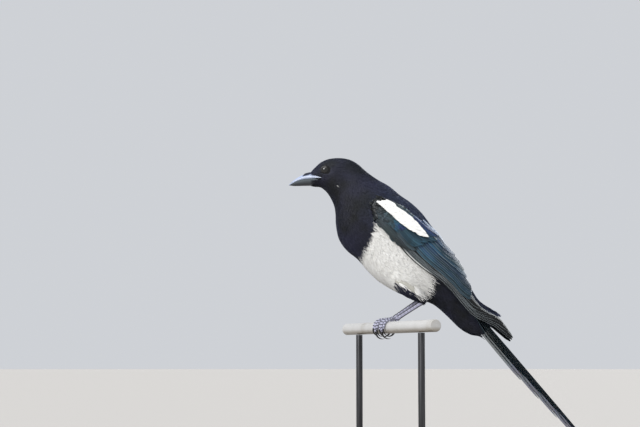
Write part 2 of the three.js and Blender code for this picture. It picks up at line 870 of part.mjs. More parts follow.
// The plane where the black of the breast ends.
const BIB = { edge: [-19.5, 0, 86.6], normal: [0.92, 0, -0.393] };

function bird() {
  const group = new THREE.Group();
  group.position.set(BIRD_X, 0, PERCH_TOP);
  const whole = bodySkin().subtract(tailSlot());
  const grown = bodySkin(GAP);

  const [headPart, rest] = parted(whole, ribAt(HEAD_END).centre, alongBody(HEAD_END));
  const [neck, trunk] = parted(rest, ribAt(NECK_END).centre, alongBody(NECK_END));

  const [breast, afterBib] = parted(trunk, new THREE.Vector3(...BIB.edge), new THREE.Vector3(...BIB.normal));
  const [loin, tailCoverts] = parted(afterBib, ribAt(TAIL_CUT).centre, alongBody(TAIL_CUT));
  const flank = ribAt(FLANK);
  const [belowFlank, back] = parted(loin, flank.centre, flank.up);
  const [belly, vent] = parted(belowFlank, ribAt(BELLY_END).centre, alongBody(BELLY_END));

  let head = headPart.add(bristles());
  for (const { side } of SIDES) head = head.add(lids(side));
  for (const { side } of SIDES) head = head.subtract(mouthLine(side));
  head = head.subtract(billUpper(GAP)).subtract(billLower(GAP));
  for (const { name, side } of SIDES) {
    head = head.subtract(eyeBall(side, GAP));
    group.add(meshOf("eye_" + name, eyeBall(side, 0), COLOURS.eye));
  }
  group.add(meshOf("head", largest(head), COLOURS.black));
  group.add(meshOf("neck", largest(neck), COLOURS.black));
  group.add(meshOf("breast", largest(breast), COLOURS.black));
  group.add(meshOf("back", largest(back), COLOURS.black));
  group.add(meshOf("belly", largest(belly), COLOURS.white));
  group.add(meshOf("vent", largest(vent), COLOURS.black));
  group.add(meshOf("bill_upper", billUpper(), COLOURS.horn));
  group.add(meshOf("bill_lower", billLower(), COLOURS.horn));
  group.add(meshOf("tail_coverts", largest(tailCoverts), COLOURS.black));
  group.add(meshOf("tail", tail(), COLOURS.gloss));

  for (const { name, side } of SIDES) {
    const white = largest(scapulars(side).subtract(grown));
    group.add(meshOf("scapulars_" + name, white, COLOURS.white));
    group.add(meshOf("wing_" + name, wing(side, grown), COLOURS.gloss));
    const leg = thigh(side, name).subtract(grown).subtract(shank(side, name, GAP));
    group.add(meshOf("thigh_" + name, largest(leg), COLOURS.black));
    group.add(meshOf("shank_" + name, shank(side, name), COLOURS.scaly));
    group.add(meshOf("foot_" + name, foot(side, name), COLOURS.scaly));
    for (const toe of TOES) {
      group.add(meshOf("claw_" + name + "_" + toe.name, claw(side, name, toe), COLOURS.horn));
    }
  }
  return group;
}

// The stand: a flat round base and two rods up to the perch

function perch() {
  const half = PERCH_LENGTH / 2;
  const profile = [
    new THREE.Vector2(0, -half),
    new THREE.Vector2(PERCH_RADIUS - PERCH_BEVEL, -half),
    new THREE.Vector2(PERCH_RADIUS, -half + PERCH_BEVEL),
    new THREE.Vector2(PERCH_RADIUS, half - PERCH_BEVEL),
    new THREE.Vector2(PERCH_RADIUS - PERCH_BEVEL, half),
    new THREE.Vector2(0, half),
  ];
  const bar = new THREE.LatheGeometry(profile, 24);
  bar.rotateZ(PERCH_TURN);
  const solid = solidOf(bar);
  const mesh = meshOf("perch", solid, COLOURS.paint);
  const middle = alongPerch.clone().multiplyScalar(PERCH_SHIFT);
  mesh.position.set(
    BIRD_X + GRIP_X + middle.x,
    middle.y,
    PERCH_TOP - PERCH_RADIUS,
  );
  return mesh;
}

function standRod(index) {
  const away = PERCH_SHIFT + (index - 0.5) * ROD_SPREAD;
  const foot = BASE_HEIGHT + GAP;
  const length = PERCH_TOP - 2 * PERCH_RADIUS - GAP - foot;
  const rod = new THREE.CylinderGeometry(ROD_RADIUS, ROD_RADIUS, length, 16);
  rod.rotateX(Math.PI / 2);
  const mesh = meshOf("stand_rod_" + (index + 1), solidOf(rod), COLOURS.steel, 0.8);
  const place = alongPerch.clone().multiplyScalar(away);
  mesh.position.set(BIRD_X + GRIP_X + place.x, place.y, foot + length / 2);
  return mesh;
}

function standBase() {
  const profile = [
    new THREE.Vector2(0, 0),
    new THREE.Vector2(BASE_RADIUS, 0),
    new THREE.Vector2(BASE_RADIUS, BASE_HEIGHT - BASE_BEVEL),
    new THREE.Vector2(BASE_RADIUS - BASE_BEVEL * 0.3, BASE_HEIGHT - BASE_BEVEL * 0.3),
    new THREE.Vector2(BASE_RADIUS - BASE_BEVEL, BASE_HEIGHT),
    new THREE.Vector2(0, BASE_HEIGHT),
  ];
  const disc = new THREE.LatheGeometry(profile, 36);
  disc.rotateX(Math.PI / 2);
  return meshOf("stand_base", solidOf(disc), COLOURS.wood);
}

const magpie = new THREE.Group();
magpie.add(bird());
magpie.add(perch());
magpie.add(standBase());
magpie.add(standRod(0));
magpie.add(standRod(1));

export default magpie;
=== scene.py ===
# A life-size Eurasian magpie on a cut length of painted rail, with its feathers, horn and scales.
import math
from collections import namedtuple

import bmesh
import bpy
import numpy as np
from mathutils import Matrix, Vector


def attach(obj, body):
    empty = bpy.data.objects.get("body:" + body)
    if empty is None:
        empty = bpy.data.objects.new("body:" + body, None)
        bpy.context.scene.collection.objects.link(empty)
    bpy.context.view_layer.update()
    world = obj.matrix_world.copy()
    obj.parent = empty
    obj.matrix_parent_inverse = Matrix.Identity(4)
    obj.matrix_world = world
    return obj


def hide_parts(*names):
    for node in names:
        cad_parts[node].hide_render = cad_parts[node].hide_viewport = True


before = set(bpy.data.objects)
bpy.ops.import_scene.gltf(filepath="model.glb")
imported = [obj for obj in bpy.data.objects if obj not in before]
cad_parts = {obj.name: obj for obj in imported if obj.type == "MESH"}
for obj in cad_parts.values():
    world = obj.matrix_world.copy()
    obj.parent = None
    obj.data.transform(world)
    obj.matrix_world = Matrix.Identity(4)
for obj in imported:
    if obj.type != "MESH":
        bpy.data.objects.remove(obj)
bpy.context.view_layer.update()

rng = np.random.default_rng(7)

# Sizes are in millimetres in the bird's own frame, whose zero is the perch's top line.
BIRD = np.array([-16.0, 0.0, 160.0])
GAP = 0.35
PERCH_RADIUS = 6.25

# Ribs along the body: back x, back z, belly x, belly z, side, and the wing's bed up and out.
RIBS = [
    (-79.5, 156.2, -80.6, 143.9, 5.6), (-72.8, 163.2, -74.4, 142.4, 8.8),
    (-66.2, 168.6, -68, 141.8, 12.2), (-57.6, 171.8, -62.6, 138.2, 15.2),
    (-47.3, 172.5, -58.2, 132.6, 17.2), (-37.4, 170.9, -55, 126.6, 18.4),
    (-28.6, 166.2, -52.8, 120.6, 19.8), (-18.6, 157.4, -51.7, 112.6, 22.6),
    (-7, 149.2, -51.2, 101, 25.6), (4.5, 142.6, -48, 86.5, 27.8),
    (16.3, 132.9, -40, 75, 28.8), (27.5, 125, -28.5, 65.5, 29),
    (38.8, 114.2, -17.6, 52.8, 28.6), (47.8, 102, -6, 42, 27.8),
    (55.8, 91.4, 8, 33.8, 26), (63.4, 80, 23, 27.4, 23.6, 31.6, 25.8),
    (70.4, 68.4, 38, 23, 20.6, 27.6, 24.8), (77.4, 56.4, 50.6, 18.2, 17.2, 24.4, 23.6),
    (84, 44.6, 60.4, 10.4, 14, 21.6, 22.4), (91, 33.4, 69.6, 1.6, 10.6, 19.6, 21),
    (98.2, 22.4, 79, -7.4, 7.8, 17.6, 19.4), (108.6, 14.6, 89.6, -13.4, 5.6, 15.6, 17.4),
    (123.4, 4.6, 102.4, -17.4, 4, 13.8, 14.6), (142.6, -20, 122, -38.4, 3, 12.6, 11),
]
BED_GAP = 0.8
BODY_END = 21


def curve(values):
    """A smooth line through the values, which takes a share of its length in points."""
    values = np.asarray(values, float)
    ends = np.vstack([2 * values[0] - values[1], values, 2 * values[-1] - values[-2]])
    last = len(values) - 2

    def at(share):
        place = np.clip(share, 0, 1) * (last + 1)
        first = np.minimum(place.astype(int), last)
        w = (place - first)[..., None]
        a, b, c, d = (ends[first + k] for k in range(4))
        rise, fall = (c - a) / 2, (d - b) / 2
        bend = 3 * (c - b) - 2 * rise - fall
        return b + rise * w + bend * w**2 + (2 * (b - c) + rise + fall) * w**3

    return at


def full_rib(rib):
    if len(rib) > 5:
        return rib
    half = math.hypot(rib[0] - rib[2], rib[1] - rib[3]) / 2
    return (*rib, half + BED_GAP, rib[4] + BED_GAP)


def lengths(points):
    """Distance along a line of points."""
    return np.concatenate([[0], np.cumsum(np.linalg.norm(np.diff(points, axis=0), axis=1))])


RIB_SAMPLES = 2400
rib_curve = curve([full_rib(rib) for rib in RIBS])
SHARES = np.linspace(0, 1, RIB_SAMPLES + 1)
middles = rib_curve(SHARES)
LENGTHS = lengths((middles[:, :2] + middles[:, 2:4]) / 2)
BODY_LENGTH = LENGTHS[round(BODY_END / (len(RIBS) - 1) * RIB_SAMPLES)]


def rib_at(distance):
    """Centre, unit way up, half height, half width and the bed's two reaches."""
    values = rib_curve(np.interp(distance, LENGTHS, SHARES))
    back, belly = values[..., :2], values[..., 2:4]
    tall = np.linalg.norm(back - belly, axis=-1)
    up = (back - belly) / tall[..., None]
    return (back + belly) / 2, up, tall / 2, values[..., 4], values[..., 5], values[..., 6]


def section_point(centre, up, tall, wide, angle):
    flat = centre + up * (tall * np.cos(angle))[..., None]
    return np.stack([flat[..., 0], wide * np.sin(angle), flat[..., 1]], axis=-1)


def body(distance, angle, grow=0.0):
    """A point of the body. The angle is 0 on the back and half a turn on the belly."""
    centre, up, tall, wide, _, _ = rib_at(distance)
    return section_point(centre, up, tall + grow, wide + grow, angle)


def bed(side):
    """The surface that a folded wing lies on, by distance along it and girth up from its widest line."""

    def at(along, girth, height=0.0):
        centre, up, _, _, tall, wide = rib_at(along)
        angle = side * (math.pi / 2 - 2 * girth / (tall + wide))
        return section_point(centre, up, tall + height, wide + height, angle)

    return at


def shared(place):
    """A place in the shared frame, in metres."""
    return (np.array(place) + BIRD) / 1000


def unit(vectors):
    return vectors / np.maximum(np.linalg.norm(vectors, axis=-1, keepdims=True), 1e-9)


def lerp(a, b, share):
    return a + (b - a) * share


def profile(places, values):
    """A function that has these values at these places, and runs straight between them."""
    return lambda place: np.interp(place, places, values)


def turns(count):
    """Angles all the way round."""
    return np.linspace(0, 2 * math.pi, count, endpoint=False)


def from_back(angle):
    """How far an angle round the body lies from the back, either way."""
    return np.abs(np.mod(angle + math.pi, 2 * math.pi) - math.pi)


def slopes(surface, u, v):
    """How a surface runs with u and with v, and its outward way."""
    step = 0.01
    here = surface(u, v)
    by_u = (surface(u + step, v) - here) / step
    by_v = (surface(u, v + step) - here) / step
    normal = unit(np.cross(by_u, by_v))
    outward = surface(u, v, 1.0) - here
    normal *= np.sign(np.sum(normal * outward, axis=-1, keepdims=True))
    return by_u, by_v, normal


# Meshes


# Side of the square that a tuft takes up on the unwrap, and how far its shading follows the coat.
TUFT_PATCH = 0.003
TUFT_BLEND = 0.7
# The rings of a small feather have four points: an edge, the top, the other edge and the underside.
TUFT_RING = 4


def finished(piece, material, slot, *nodes):
    """Gives a piece its material and its body, and hides the nodes that it stands for. The slot is not used.
    """
    piece.data.materials.append(material)
    if piece.name not in bpy.context.scene.objects:
        bpy.context.scene.collection.objects.link(piece)
    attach(piece, "root")
    if nodes:
        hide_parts(*nodes)


def shells(name, rings, values, barbs, roots=None, sharp=50):
    """One mesh of many closed skins. rings has a skin, a ring, a place on the ring and x, y, z.

    A value is for all, for each skin or for each point. barbs is each point's place on its vane."""
    count, long, round_, _ = rings.shape
    # A tuft is shaded mostly as the coat that it lies in, because light passes from barb to barb.
    away = unit(rings - rings.mean(axis=2, keepdims=True))
    shading = unit(lerp(away, unit(rings[:, :, 1:2] - rings[:, :, 3:4]), TUFT_BLEND))
    near = np.roll(rings, -1, axis=2)
    middle = rings.mean(axis=(1, 2), keepdims=True)
    corners = rings[:, :-1], near[:, :-1], near[:, 1:], rings[:, 1:]
    a, b, c, d = (corner - middle for corner in corners)
    inside_out = np.sum(a * np.cross(b, c) + a * np.cross(c, d), axis=(1, 2, 3)) < 0

    def spread(value):
        """The value for each point, in turned order where a skin is inside out."""
        value = np.asarray(value, float)
        if value.ndim < 3:
            value = value.reshape(-1, 1, 1)
        value = np.array(np.broadcast_to(value, rings.shape[:3] + value.shape[3:]))
        value[inside_out] = value[inside_out][:, :, ::-1]
        return value

    index = np.arange(count * long * round_).reshape(count, long, round_)
    beside = np.roll(index, -1, axis=2)
    quads = np.stack([index[:, :-1], beside[:, :-1], beside[:, 1:], index[:, 1:]], axis=-1)
    caps = np.concatenate([index[:, 0, ::-1], index[:, -1]])
    loops = np.concatenate([quads.ravel(), caps.ravel()])
    sizes = np.concatenate([np.full(quads.size // 4, 4), np.full(len(caps), round_)])
    mesh = bpy.data.meshes.new(name)
    mesh.vertices.add(index.size)
    mesh.vertices.foreach_set("co", shared(spread(rings)).ravel())
    mesh.loops.add(len(loops))
    mesh.loops.foreach_set("vertex_index", loops)
    mesh.polygons.add(len(sizes))
    mesh.polygons.foreach_set("loop_start", np.cumsum(sizes) - sizes)
    mesh.update(calc_edges=True)
    mesh.shade_smooth()
    mesh.set_sharp_from_angle(angle=math.radians(sharp))
    if roots is not None:
        patch = np.stack(np.meshgrid(np.abs(np.linspace(-1, 1, round_)), np.linspace(0, 1, long)), axis=-1)
        places = (roots[:, None, None, :] + TUFT_PATCH * (patch - 0.5)).reshape(-1, 2)
        mesh.uv_layers.new(name="OFBake").uv.foreach_set("vector", places[loops].ravel())
    places = spread(barbs).reshape(-1, 2)
    mesh.uv_layers.new(name="Barbs").uv.foreach_set("vector", places[loops].ravel())
    for key, value in values.items():
        mesh.attributes.new(key, "FLOAT", "POINT").data.foreach_set("value", spread(value).ravel())
    mesh.validate()
    if round_ == TUFT_RING:
        mesh.normals_split_custom_set_from_vertices(spread(shading).reshape(-1, 3))
    return bpy.data.objects.new(name, mesh)


def meshed(name, bm, sharp=180):
    """Makes an object of a bmesh, smooth except where it bends by more than so many degrees."""
    mesh = bpy.data.meshes.new(name)
    bm.to_mesh(mesh)
    bm.free()
    mesh.shade_smooth()
    if sharp < 180:
        mesh.set_sharp_from_angle(angle=math.radians(sharp))
    return bpy.data.objects.new(name, mesh)


def lofted(name, skins, sharp=60, marks=None):
    """One mesh of closed skins, each drawn out of a circle from ring to ring by extruding."""
    bm = bmesh.new()
    edge_layer = bm.verts.layers.float.new("edge") if marks else None
    for number, rings in enumerate(skins):
        loop = bmesh.ops.create_circle(bm, cap_ends=True, segments=len(rings[0]), radius=1)["verts"]
        edges = list({edge for vert in loop for edge in vert.link_edges})
        for vert, place in zip(loop, rings[0]):
            vert.co = place
        for ring in rings[1:]:
            drawn = bmesh.ops.extrude_edge_only(bm, edges=edges)["geom"]
            fresh = {item for item in drawn if isinstance(item, bmesh.types.BMVert)}
            edges = [item for item in drawn if isinstance(item, bmesh.types.BMEdge)]
            edges = [edge for edge in edges if fresh.issuperset(edge.verts)]
            ends = ([edge.other_vert(vert) for edge in vert.link_edges] for vert in loop)
            loop = [next(vert for vert in near if vert in fresh) for near in ends]
            for vert, place in zip(loop, ring):
                vert.co = place
        bmesh.ops.contextual_create(bm, geom=edges)
        if marks:
            bm.verts.ensure_lookup_table()
            for vert, mark in zip(bm.verts[-marks[number].size:], marks[number].ravel()):
                vert[edge_layer] = mark
    for vert in bm.verts:
        vert.co = shared(vert.co)
    bmesh.ops.recalc_face_normals(bm, faces=bm.faces)
    return meshed(name, bm, sharp)


# Materials


def rgb(value):
    """A hex colour as linear red, green, blue and full alpha."""
    parts = [int(value[i : i + 2], 16) / 255 for i in (1, 3, 5)]
    return [p / 12.92 if p <= 0.04045 else ((p + 0.055) / 1.055) ** 2.4 for p in parts] + [1]


def feed(tree, socket, value):
    """Sets a socket, or links it where the value is another socket. A colour may be a hex value."""
    if isinstance(value, bpy.types.NodeSocket):
        tree.links.new(value, socket)
    else:
        socket.default_value = rgb(value) if isinstance(value, str) else value


def add(tree, kind, settings):
    """Adds a node. Keys that start with a capital or are numbers are its sockets."""
    node = tree.nodes.new(kind)
    for key, value in settings.items():
        if isinstance(key, int) or key[0].isupper():
            feed(tree, node.inputs[key], value)
        else:
            setattr(node, key, value)
    return node


def new_material(name, settings):
    made = bpy.data.materials.new(name)
    made.use_nodes = True
    for key, value in settings.items():
        feed(made.node_tree, made.node_tree.nodes["Principled BSDF"].inputs[key], value)
    return made, made.node_tree


def surfaced(made, tree, colour, height, strength, depth, **more):
    """Gives a material its colour, the relief that a height makes, and other sources by socket."""
    relief = {"Strength": strength, "Distance": depth, "Height": height}
    more["Normal"] = add(tree, "ShaderNodeBump", relief).outputs[0]
    more["Base Color"] = colour
    for key, source in more.items():
        feed(tree, tree.nodes["Principled BSDF"].inputs[key], source)
    return made


def ramp(tree, source, stops):
    """A colour ramp fed by source, with (place, colour) stops."""
    node = add(tree, "ShaderNodeValToRGB", {"Fac": source})
    line = node.color_ramp
    while len(line.elements) < len(stops):
        line.elements.new(0.5)
    for element, (place, colour) in zip(line.elements, stops):
        element.position = place
        element.color = rgb(colour)
    return node.outputs["Color"]


def mixed(tree, share, first, second, blend="MIX"):
    """Two colours mixed by a share."""
    settings = {"data_type": "RGBA", "blend_type": blend, 0: share, 6: first, 7: second}
    return add(tree, "ShaderNodeMix", settings).outputs[2]


def darkened(tree, share, colour, source, tint, start=0, end=1):
    """A colour tinted by a share where the source is low, between its start and end."""
    return mixed(tree, share, colour, ramp(tree, source, [(start, tint), (end, "#ffffff")]), "MULTIPLY")


def attributes(tree, *names):
    """Values that the points of a mesh carry."""
    return [add(tree, "ShaderNodeAttribute", {"attribute_name": name}).outputs["Fac"] for name in names]


def maths(tree, operation, a, b=0.0):
    return add(tree, "ShaderNodeMath", {"operation": operation, 0: a, 1: b}).outputs[0]


def barb_lines(tree, spacing, slant):
    """Fine ribs that leave the shaft at a slant, and the distance from it, in millimetres."""
    place = add(tree, "ShaderNodeUVMap", {"uv_map": "Barbs"}).outputs["UV"]
    parts = add(tree, "ShaderNodeSeparateXYZ", {0: place}).outputs
    out = maths(tree, "ABSOLUTE", parts["X"])
    slid = maths(tree, "SUBTRACT", parts["Y"], maths(tree, "MULTIPLY", out, slant))
    wave = maths(tree, "SINE", maths(tree, "MULTIPLY", slid, 2 * math.pi / spacing))
    return maths(tree, "MULTIPLY_ADD", wave, 0.5), out


def noise(tree, scale, detail, stretch=(1, 1, 1)):
    place = add(tree, "ShaderNodeTexCoord", {}).outputs["Object"]
    turned = add(tree, "ShaderNodeMapping", {"Scale": stretch, "Vector": place}).outputs[0]
    settings = {"Scale": scale, "Detail": detail, "Roughness": 0.6, "Vector": turned}
    return add(tree, "ShaderNodeTexNoise", settings).outputs["Fac"]


def contour_feather():
    """Body plumage: keratin barbs, black with a blue and violet sheen that is partly painted, or plain silky
    white.
    """
    made, tree = new_material("contour_feather", {
        "Roughness": 0.55, "Specular IOR Level": 0.3,
        "Sheen Weight": 0.2, "Sheen Roughness": 0.35, "Sheen Tint": "#a3b6e0",
    })
    lines, _ = barb_lines(tree, 0.7, 1.2)
    white, vary, gloss = attributes(tree, "white", "vary", "gloss")
    dark = ramp(tree, vary, [(0, "#0d0f13"), (0.5, "#111418"), (1, "#171b22")])
    blue = ramp(tree, vary, [(0, "#222b3e"), (0.6, "#313b54"), (1, "#454f6c")])
    # The gloss value mixes in the blue: partly the plumage's own gloss, partly painted sheen that is
    # strongest on top.
    dark = darkened(tree, 0.5, mixed(tree, gloss, dark, blue), lines, "#bdbdbd")
    # Soft violet and blue clouds, where the sheen changes.
    clouds = ramp(tree, noise(tree, 26, 2), [(0.42, "#000000"), (0.66, "#ffffff")])
    dark = mixed(tree, clouds, dark, mixed(tree, 0.16, dark, "#50507c"))
    pale = ramp(tree, vary, [(0, "#efeee9"), (0.5, "#f6f5f1"), (1, "#fbfaf8")])
    pale = darkened(tree, 0.15, pale, lines, "#d9dad8")
    return surfaced(made, tree, mixed(tree, white, dark, pale), lines, 0.3, 0.0002)


def quill_feather():
    """Flight feathers: close keratin barbs over dark pigment, which shine blue and green, with a painted
    highlight on their margins and painted shade just inside them.
    """
    settings = {"Roughness": 0.36, "Specular IOR Level": 0.45, "Metallic": 0.3}
    made, tree = new_material("quill_feather", settings)
    lines, out = barb_lines(tree, 0.9, 1.0)
    white, vary, gloss, pale, black = attributes(tree, "white", "vary", "gloss", "pale", "black")
    # From brown black through olive, sea green and blue to violet.
    shine = ramp(tree, gloss, [
        (0, "#202124"), (0.2, "#4a565e"), (0.4, "#4a606c"), (0.62, "#3a6780"), (0.82, "#39548c"),
        (1, "#453f7c"),
    ])
    patches = ramp(tree, noise(tree, 55, 2), [(0.4, "#000000"), (0.62, "#ffffff")])
    colour = mixed(tree, 0.3, shine, mixed(tree, patches, shine, "#2b4a3f"))
    colour = darkened(tree, 1.0, colour, vary, "#9c9c9c")
    colour = darkened(tree, 0.6, colour, lines, "#bcbcbc")
    shaft = maths(tree, "MULTIPLY", maths(tree, "LESS_THAN", out, 0.35), 0.6)
    # The pale margins are a painted highlight and the black just inside them is painted shade; the dark shaft
    # and the white are the feathers' own.
    for share, over in ((shaft, "#0b0b0d"), (black, "#07080a"), (pale, "#9aa2a6"), (white, "#eef0ee")):
        colour = mixed(tree, share, colour, over)
    return surfaced(made, tree, colour, lines, 0.3, 0.0002)


def bill_horn(name, low, middle, high):
    """One half of the bill: smooth black horn, with a painted glare along the upper ridge and painted shade
    towards the lower keel.
    """
    made, tree = new_material(name, {"Coat Weight": 0.6, "Coat Roughness": 0.3, "Coat Tint": "#dfe6ff"})
    grain = noise(tree, 160, 4, (0.25, 1, 1))
    # Painted light: the edge value, broken by grain, picks between the shade and glare colours.
    painted_light = maths(tree, "ADD", attributes(tree, "edge")[0], maths(tree, "MULTIPLY", grain, 0.3))
    base = ramp(tree, painted_light, [(0.15, low), (0.5, middle), (1.0, high)])
    rough = add(tree, "ShaderNodeMapRange", {"To Min": 0.24, "To Max": 0.4, "Value": grain}).outputs[0]
    return surfaced(made, tree, base, grain, 0.05, 0.0002, Roughness=rough)


def wet_eye():
    """The eye: dark brown iris round a black pupil, under a wet clear cornea."""
    made, tree = new_material("wet_eye", {
        "Roughness": 0.3, "Specular IOR Level": 0.0,
        "Coat Weight": 1.0, "Coat Roughness": 0.03, "Coat IOR": 1.62,
    })
    stops = [(0, "#010101"), (0.45, "#020202"), (0.55, "#0e0806"), (1, "#040303")]
    iris = ramp(tree, attributes(tree, "rim")[0], stops)
    feed(tree, tree.nodes["Principled BSDF"].inputs["Base Color"], iris)
    return made


def rail_paint():
    """Old oil paint on a steel rail: off-white, a little dirty, with brush lines along it and painted shade
    on its underside.
    """
    made, tree = new_material("rail_paint", {"Roughness": 0.45, "Coat Weight": 0.15})
    place = add(tree, "ShaderNodeTexCoord", {}).outputs["Object"]
    turned = add(tree, "ShaderNodeMapping", {"Rotation": (0, 0, math.radians(60)), "Vector": place})
    thin = add(tree, "ShaderNodeMapping", {"Scale": (0.06, 1, 1), "Vector": turned.outputs[0]})
    brush = add(tree, "ShaderNodeTexNoise", {"Scale": 900.0, "Detail": 3.0, "Vector": thin.outputs[0]})
    dirt = noise(tree, 45, 6)
    paint = ramp(tree, dirt, [(0.25, "#aeaba6"), (0.45, "#bab9b7"), (0.7, "#c1c0bf")])
    paint = darkened(tree, 0.6, paint, noise(tree, 420, 2), "#6d6256", 0.24, 0.3)
    # Painted shade darkens and browns the underside of the rail.
    height = add(tree, "ShaderNodeSeparateXYZ", {0: place}).outputs["Z"]
    low, high = BIRD[2] - 2 * PERCH_RADIUS, BIRD[2]
    reach = {"From Min": low / 1000, "From Max": high / 1000, "Value": height}
    share = add(tree, "ShaderNodeMapRange", reach).outputs[0]
    uneven = maths(tree, "ADD", share, maths(tree, "MULTIPLY", dirt, 0.16))
    underside_shade = ramp(tree, uneven, [(0.1, "#a3998b"), (0.26, "#d0c9be"), (0.5, "#ffffff")])
    paint = mixed(tree, 1.0, paint, underside_shade, "MULTIPLY")
    return surfaced(made, tree, paint, brush.outputs["Fac"], 0.2, 0.0003)


def grained(name, settings, grain, stops, relief, mark=None):
    """A material whose colour and relief follow its grain, and that has another colour where marked."""
    made, tree = new_material(name, settings)
    grain = noise(tree, *grain)
    colour = ramp(tree, grain, stops)
    if mark:
        colour = mixed(tree, attributes(tree, mark[0])[0], colour, mark[1])
    return surfaced(made, tree, colour, grain, *relief)


CONTOUR = contour_feather()
QUILL = quill_feather()
# The upper half's palest colour is a painted glare, and the lower half's darkest colour is painted shade at
# its keel.
UPPER_HORN = bill_horn("bill_horn_upper", "#31353c", "#77808e", "#bcc6d8")
LOWER_HORN = bill_horn("bill_horn_lower", "#0c0d0d", "#25292a", "#545b59")
# Claws: black horn, rubbed to a soft shine.
CLAW_HORN = grained(
    "claw_horn", {"Roughness": 0.3, "Coat Weight": 0.3}, (400, 3, (1, 1, 0.3)),
    [(0.3, "#0e0e11"), (0.8, "#2c2c31")], (0.15, 0.0002),
)
# Legs and toes: dark horny scutes whose paler faces are a painted sheen, with black lines between them.
SCALES = grained(
    "scaly_skin", {"Roughness": 0.38, "Specular IOR Level": 0.5}, (900, 3),
    [(0.3, "#8f8fa6"), (0.7, "#c0c0d4")], (0.25, 0.0002), ("edge", "#060608"),
)
EYE_WET = wet_eye()
# The skin under the plumage: dark or pale, matt and finely creased.
SKIN = grained(
    "bare_skin", {"Roughness": 0.7, "Specular IOR Level": 0.15}, (1200, 4),
    [(0.3, "#08080a"), (0.7, "#111114")], (0.4, 0.0003), ("white", "#b9b7ae"),
)
# The rims of the lids: black, moist and finely creased skin.
LIDS = grained(
    "lid_skin", {"Roughness": 0.28, "Specular IOR Level": 0.5}, (1500, 4),
    [(0.3, "#08080a"), (0.7, "#131318")], (0.4, 0.0002),
)
RAIL_PAINT = rail_paint()
# The base: dark stained beech under wax, with fine straight grain.
WOOD = grained(
    "waxed_beech", {"Roughness": 0.38, "Coat Weight": 0.2}, (220, 5, (0.05, 1, 1)),
    [(0.3, "#20130c"), (0.5, "#38231a"), (0.75, "#4c3325")], (0.15, 0.0003),
)
# The rods: mild steel, brushed and blackened.
STEEL = grained(
    "blackened_steel", {"Metallic": 1.0, "Roughness": 0.38}, (900, 3, (1, 1, 0.03)),
    [(0.3, "#3c3c3e"), (0.7, "#5c5c5e")], (0.1, 0.0001),
)


# Plumage


# How far the skin lies under the tips of the coat, and how uneven its black is, which is least on the head.
coat_depth = profile([0, 30, 75, 110, 210, 245], [0.7, 1.1, 2.0, 2.8, 2.6, 1.6])
tone = profile([20, 50, 75], [0, 0.15, 0.9])
# How wide a rounded vane and a loose, pointed tuft of barbs are, by the share of their length.
vane_outline = profile([0, 0.25, 0.6, 0.85, 0.96, 1], [0.45, 0.8, 1, 0.85, 0.45, 0.08])
barb_outline = profile([0, 0.35, 0.75, 1], [0.8, 1, 0.7, 0.06])


def laid(surface, u, v, turn, length, width, sink, rise, steps, outline, curl=0.0, thick=0.22, dome=0.2):
    """Small feathers that follow a surface from their roots, as rings of four points, with their map."""
    share = np.linspace(0, 1, steps)
    by_u, by_v, _ = slopes(surface, u, v)
    run_u = np.cos(turn) * length / np.linalg.norm(by_u, axis=-1)
    run_v = np.sin(turn) * length / np.linalg.norm(by_v, axis=-1)
    us = u[:, None] + run_u[:, None] * share
    vs = v[:, None] + run_v[:, None] * share
    normal = slopes(surface, us, vs)[2]
    lift = sink + (rise - sink) * share[:, None] ** 0.7 + curl * share[:, None] ** 3
    middle = surface(us, vs) + normal * lift.T[..., None]
    along = unit(np.gradient(middle, axis=1))
    across = unit(np.cross(normal, along))
    half = (width[:, None] / 2 * outline(share))[..., None]
    side = across * half
    drop = normal * half * dome
    tall = normal * thick / 2
    rings = np.stack([middle - side - drop, middle + tall, middle + side - drop, middle - tall], axis=2)
    out = np.array([-1.0, 0, 1, 0]) * half
    down = np.broadcast_to((length[:, None] * share)[..., None], out.shape)
    return rings, np.stack([out, down], axis=-1)


def staggered(count, row):
    """Angles of one row of roots, which lie half a step on in every other row."""
    return (np.arange(count) + 0.5 * (row % 2)) * 2 * math.pi / count


def rows(start, end, step, gap):
    """Roots in staggered rows along the body, as distances and angles, a little uneven."""
    places = []
    for i, distance in enumerate(np.arange(start, end, step)):
        _, _, tall, wide, _, _ = rib_at(np.array(distance))
        count = max(8, int(2 * math.pi * math.hypot(tall, wide) / math.sqrt(2) / gap))
        angles = staggered(count, i) + rng.normal(0, 0.16 * 2 * math.pi / count, count)
        places.append(np.stack([distance + rng.normal(0, 0.18 * step, count), angles]))
    return np.concatenate(places, axis=1)


# Where the black of the breast ends: height, and x of the edge.
BIB_HEIGHTS = [60, 68.8, 71.7, 81.9, 95.6, 105, 118]
BIB_EDGE = [-29, -27, -24, -19, -13.6, -9.8, -6.6]
# Lowest white over the thigh by x, and rearmost white by height.
THIGH_XS = [4, 8, 16, 23, 28, 32, 50]
THIGH_LINE = [0, 38.5, 36, 31.5, 28.5, 26.5, 26]
VENT_HEIGHTS = [24, 36, 56]
VENT_EDGE = [41, 44.5, 50]
# The white starts this far round from the back, and the folded wings cover this much.
WHITE_FROM = 1.12
WING_FROM, WING_TO = 0.62, 1.6
WING_START = 96


def white_at(place, angle):
    """Which places of the body's plumage are white: the belly and the flanks."""
    x, z = place[..., 0], place[..., 2]
    ragged = rng.normal(0, 1.1, x.shape)
    behind_bib = x + ragged > np.interp(z, BIB_HEIGHTS, BIB_EDGE)
    above_thigh = z + 1.2 * ragged > np.interp(x, THIGH_XS, THIGH_LINE)
    before_vent = x + 1.6 * ragged < np.interp(z, VENT_HEIGHTS, VENT_EDGE)
    return (behind_bib & above_thigh & before_vent & (from_back(angle) > WHITE_FROM)).astype(float)


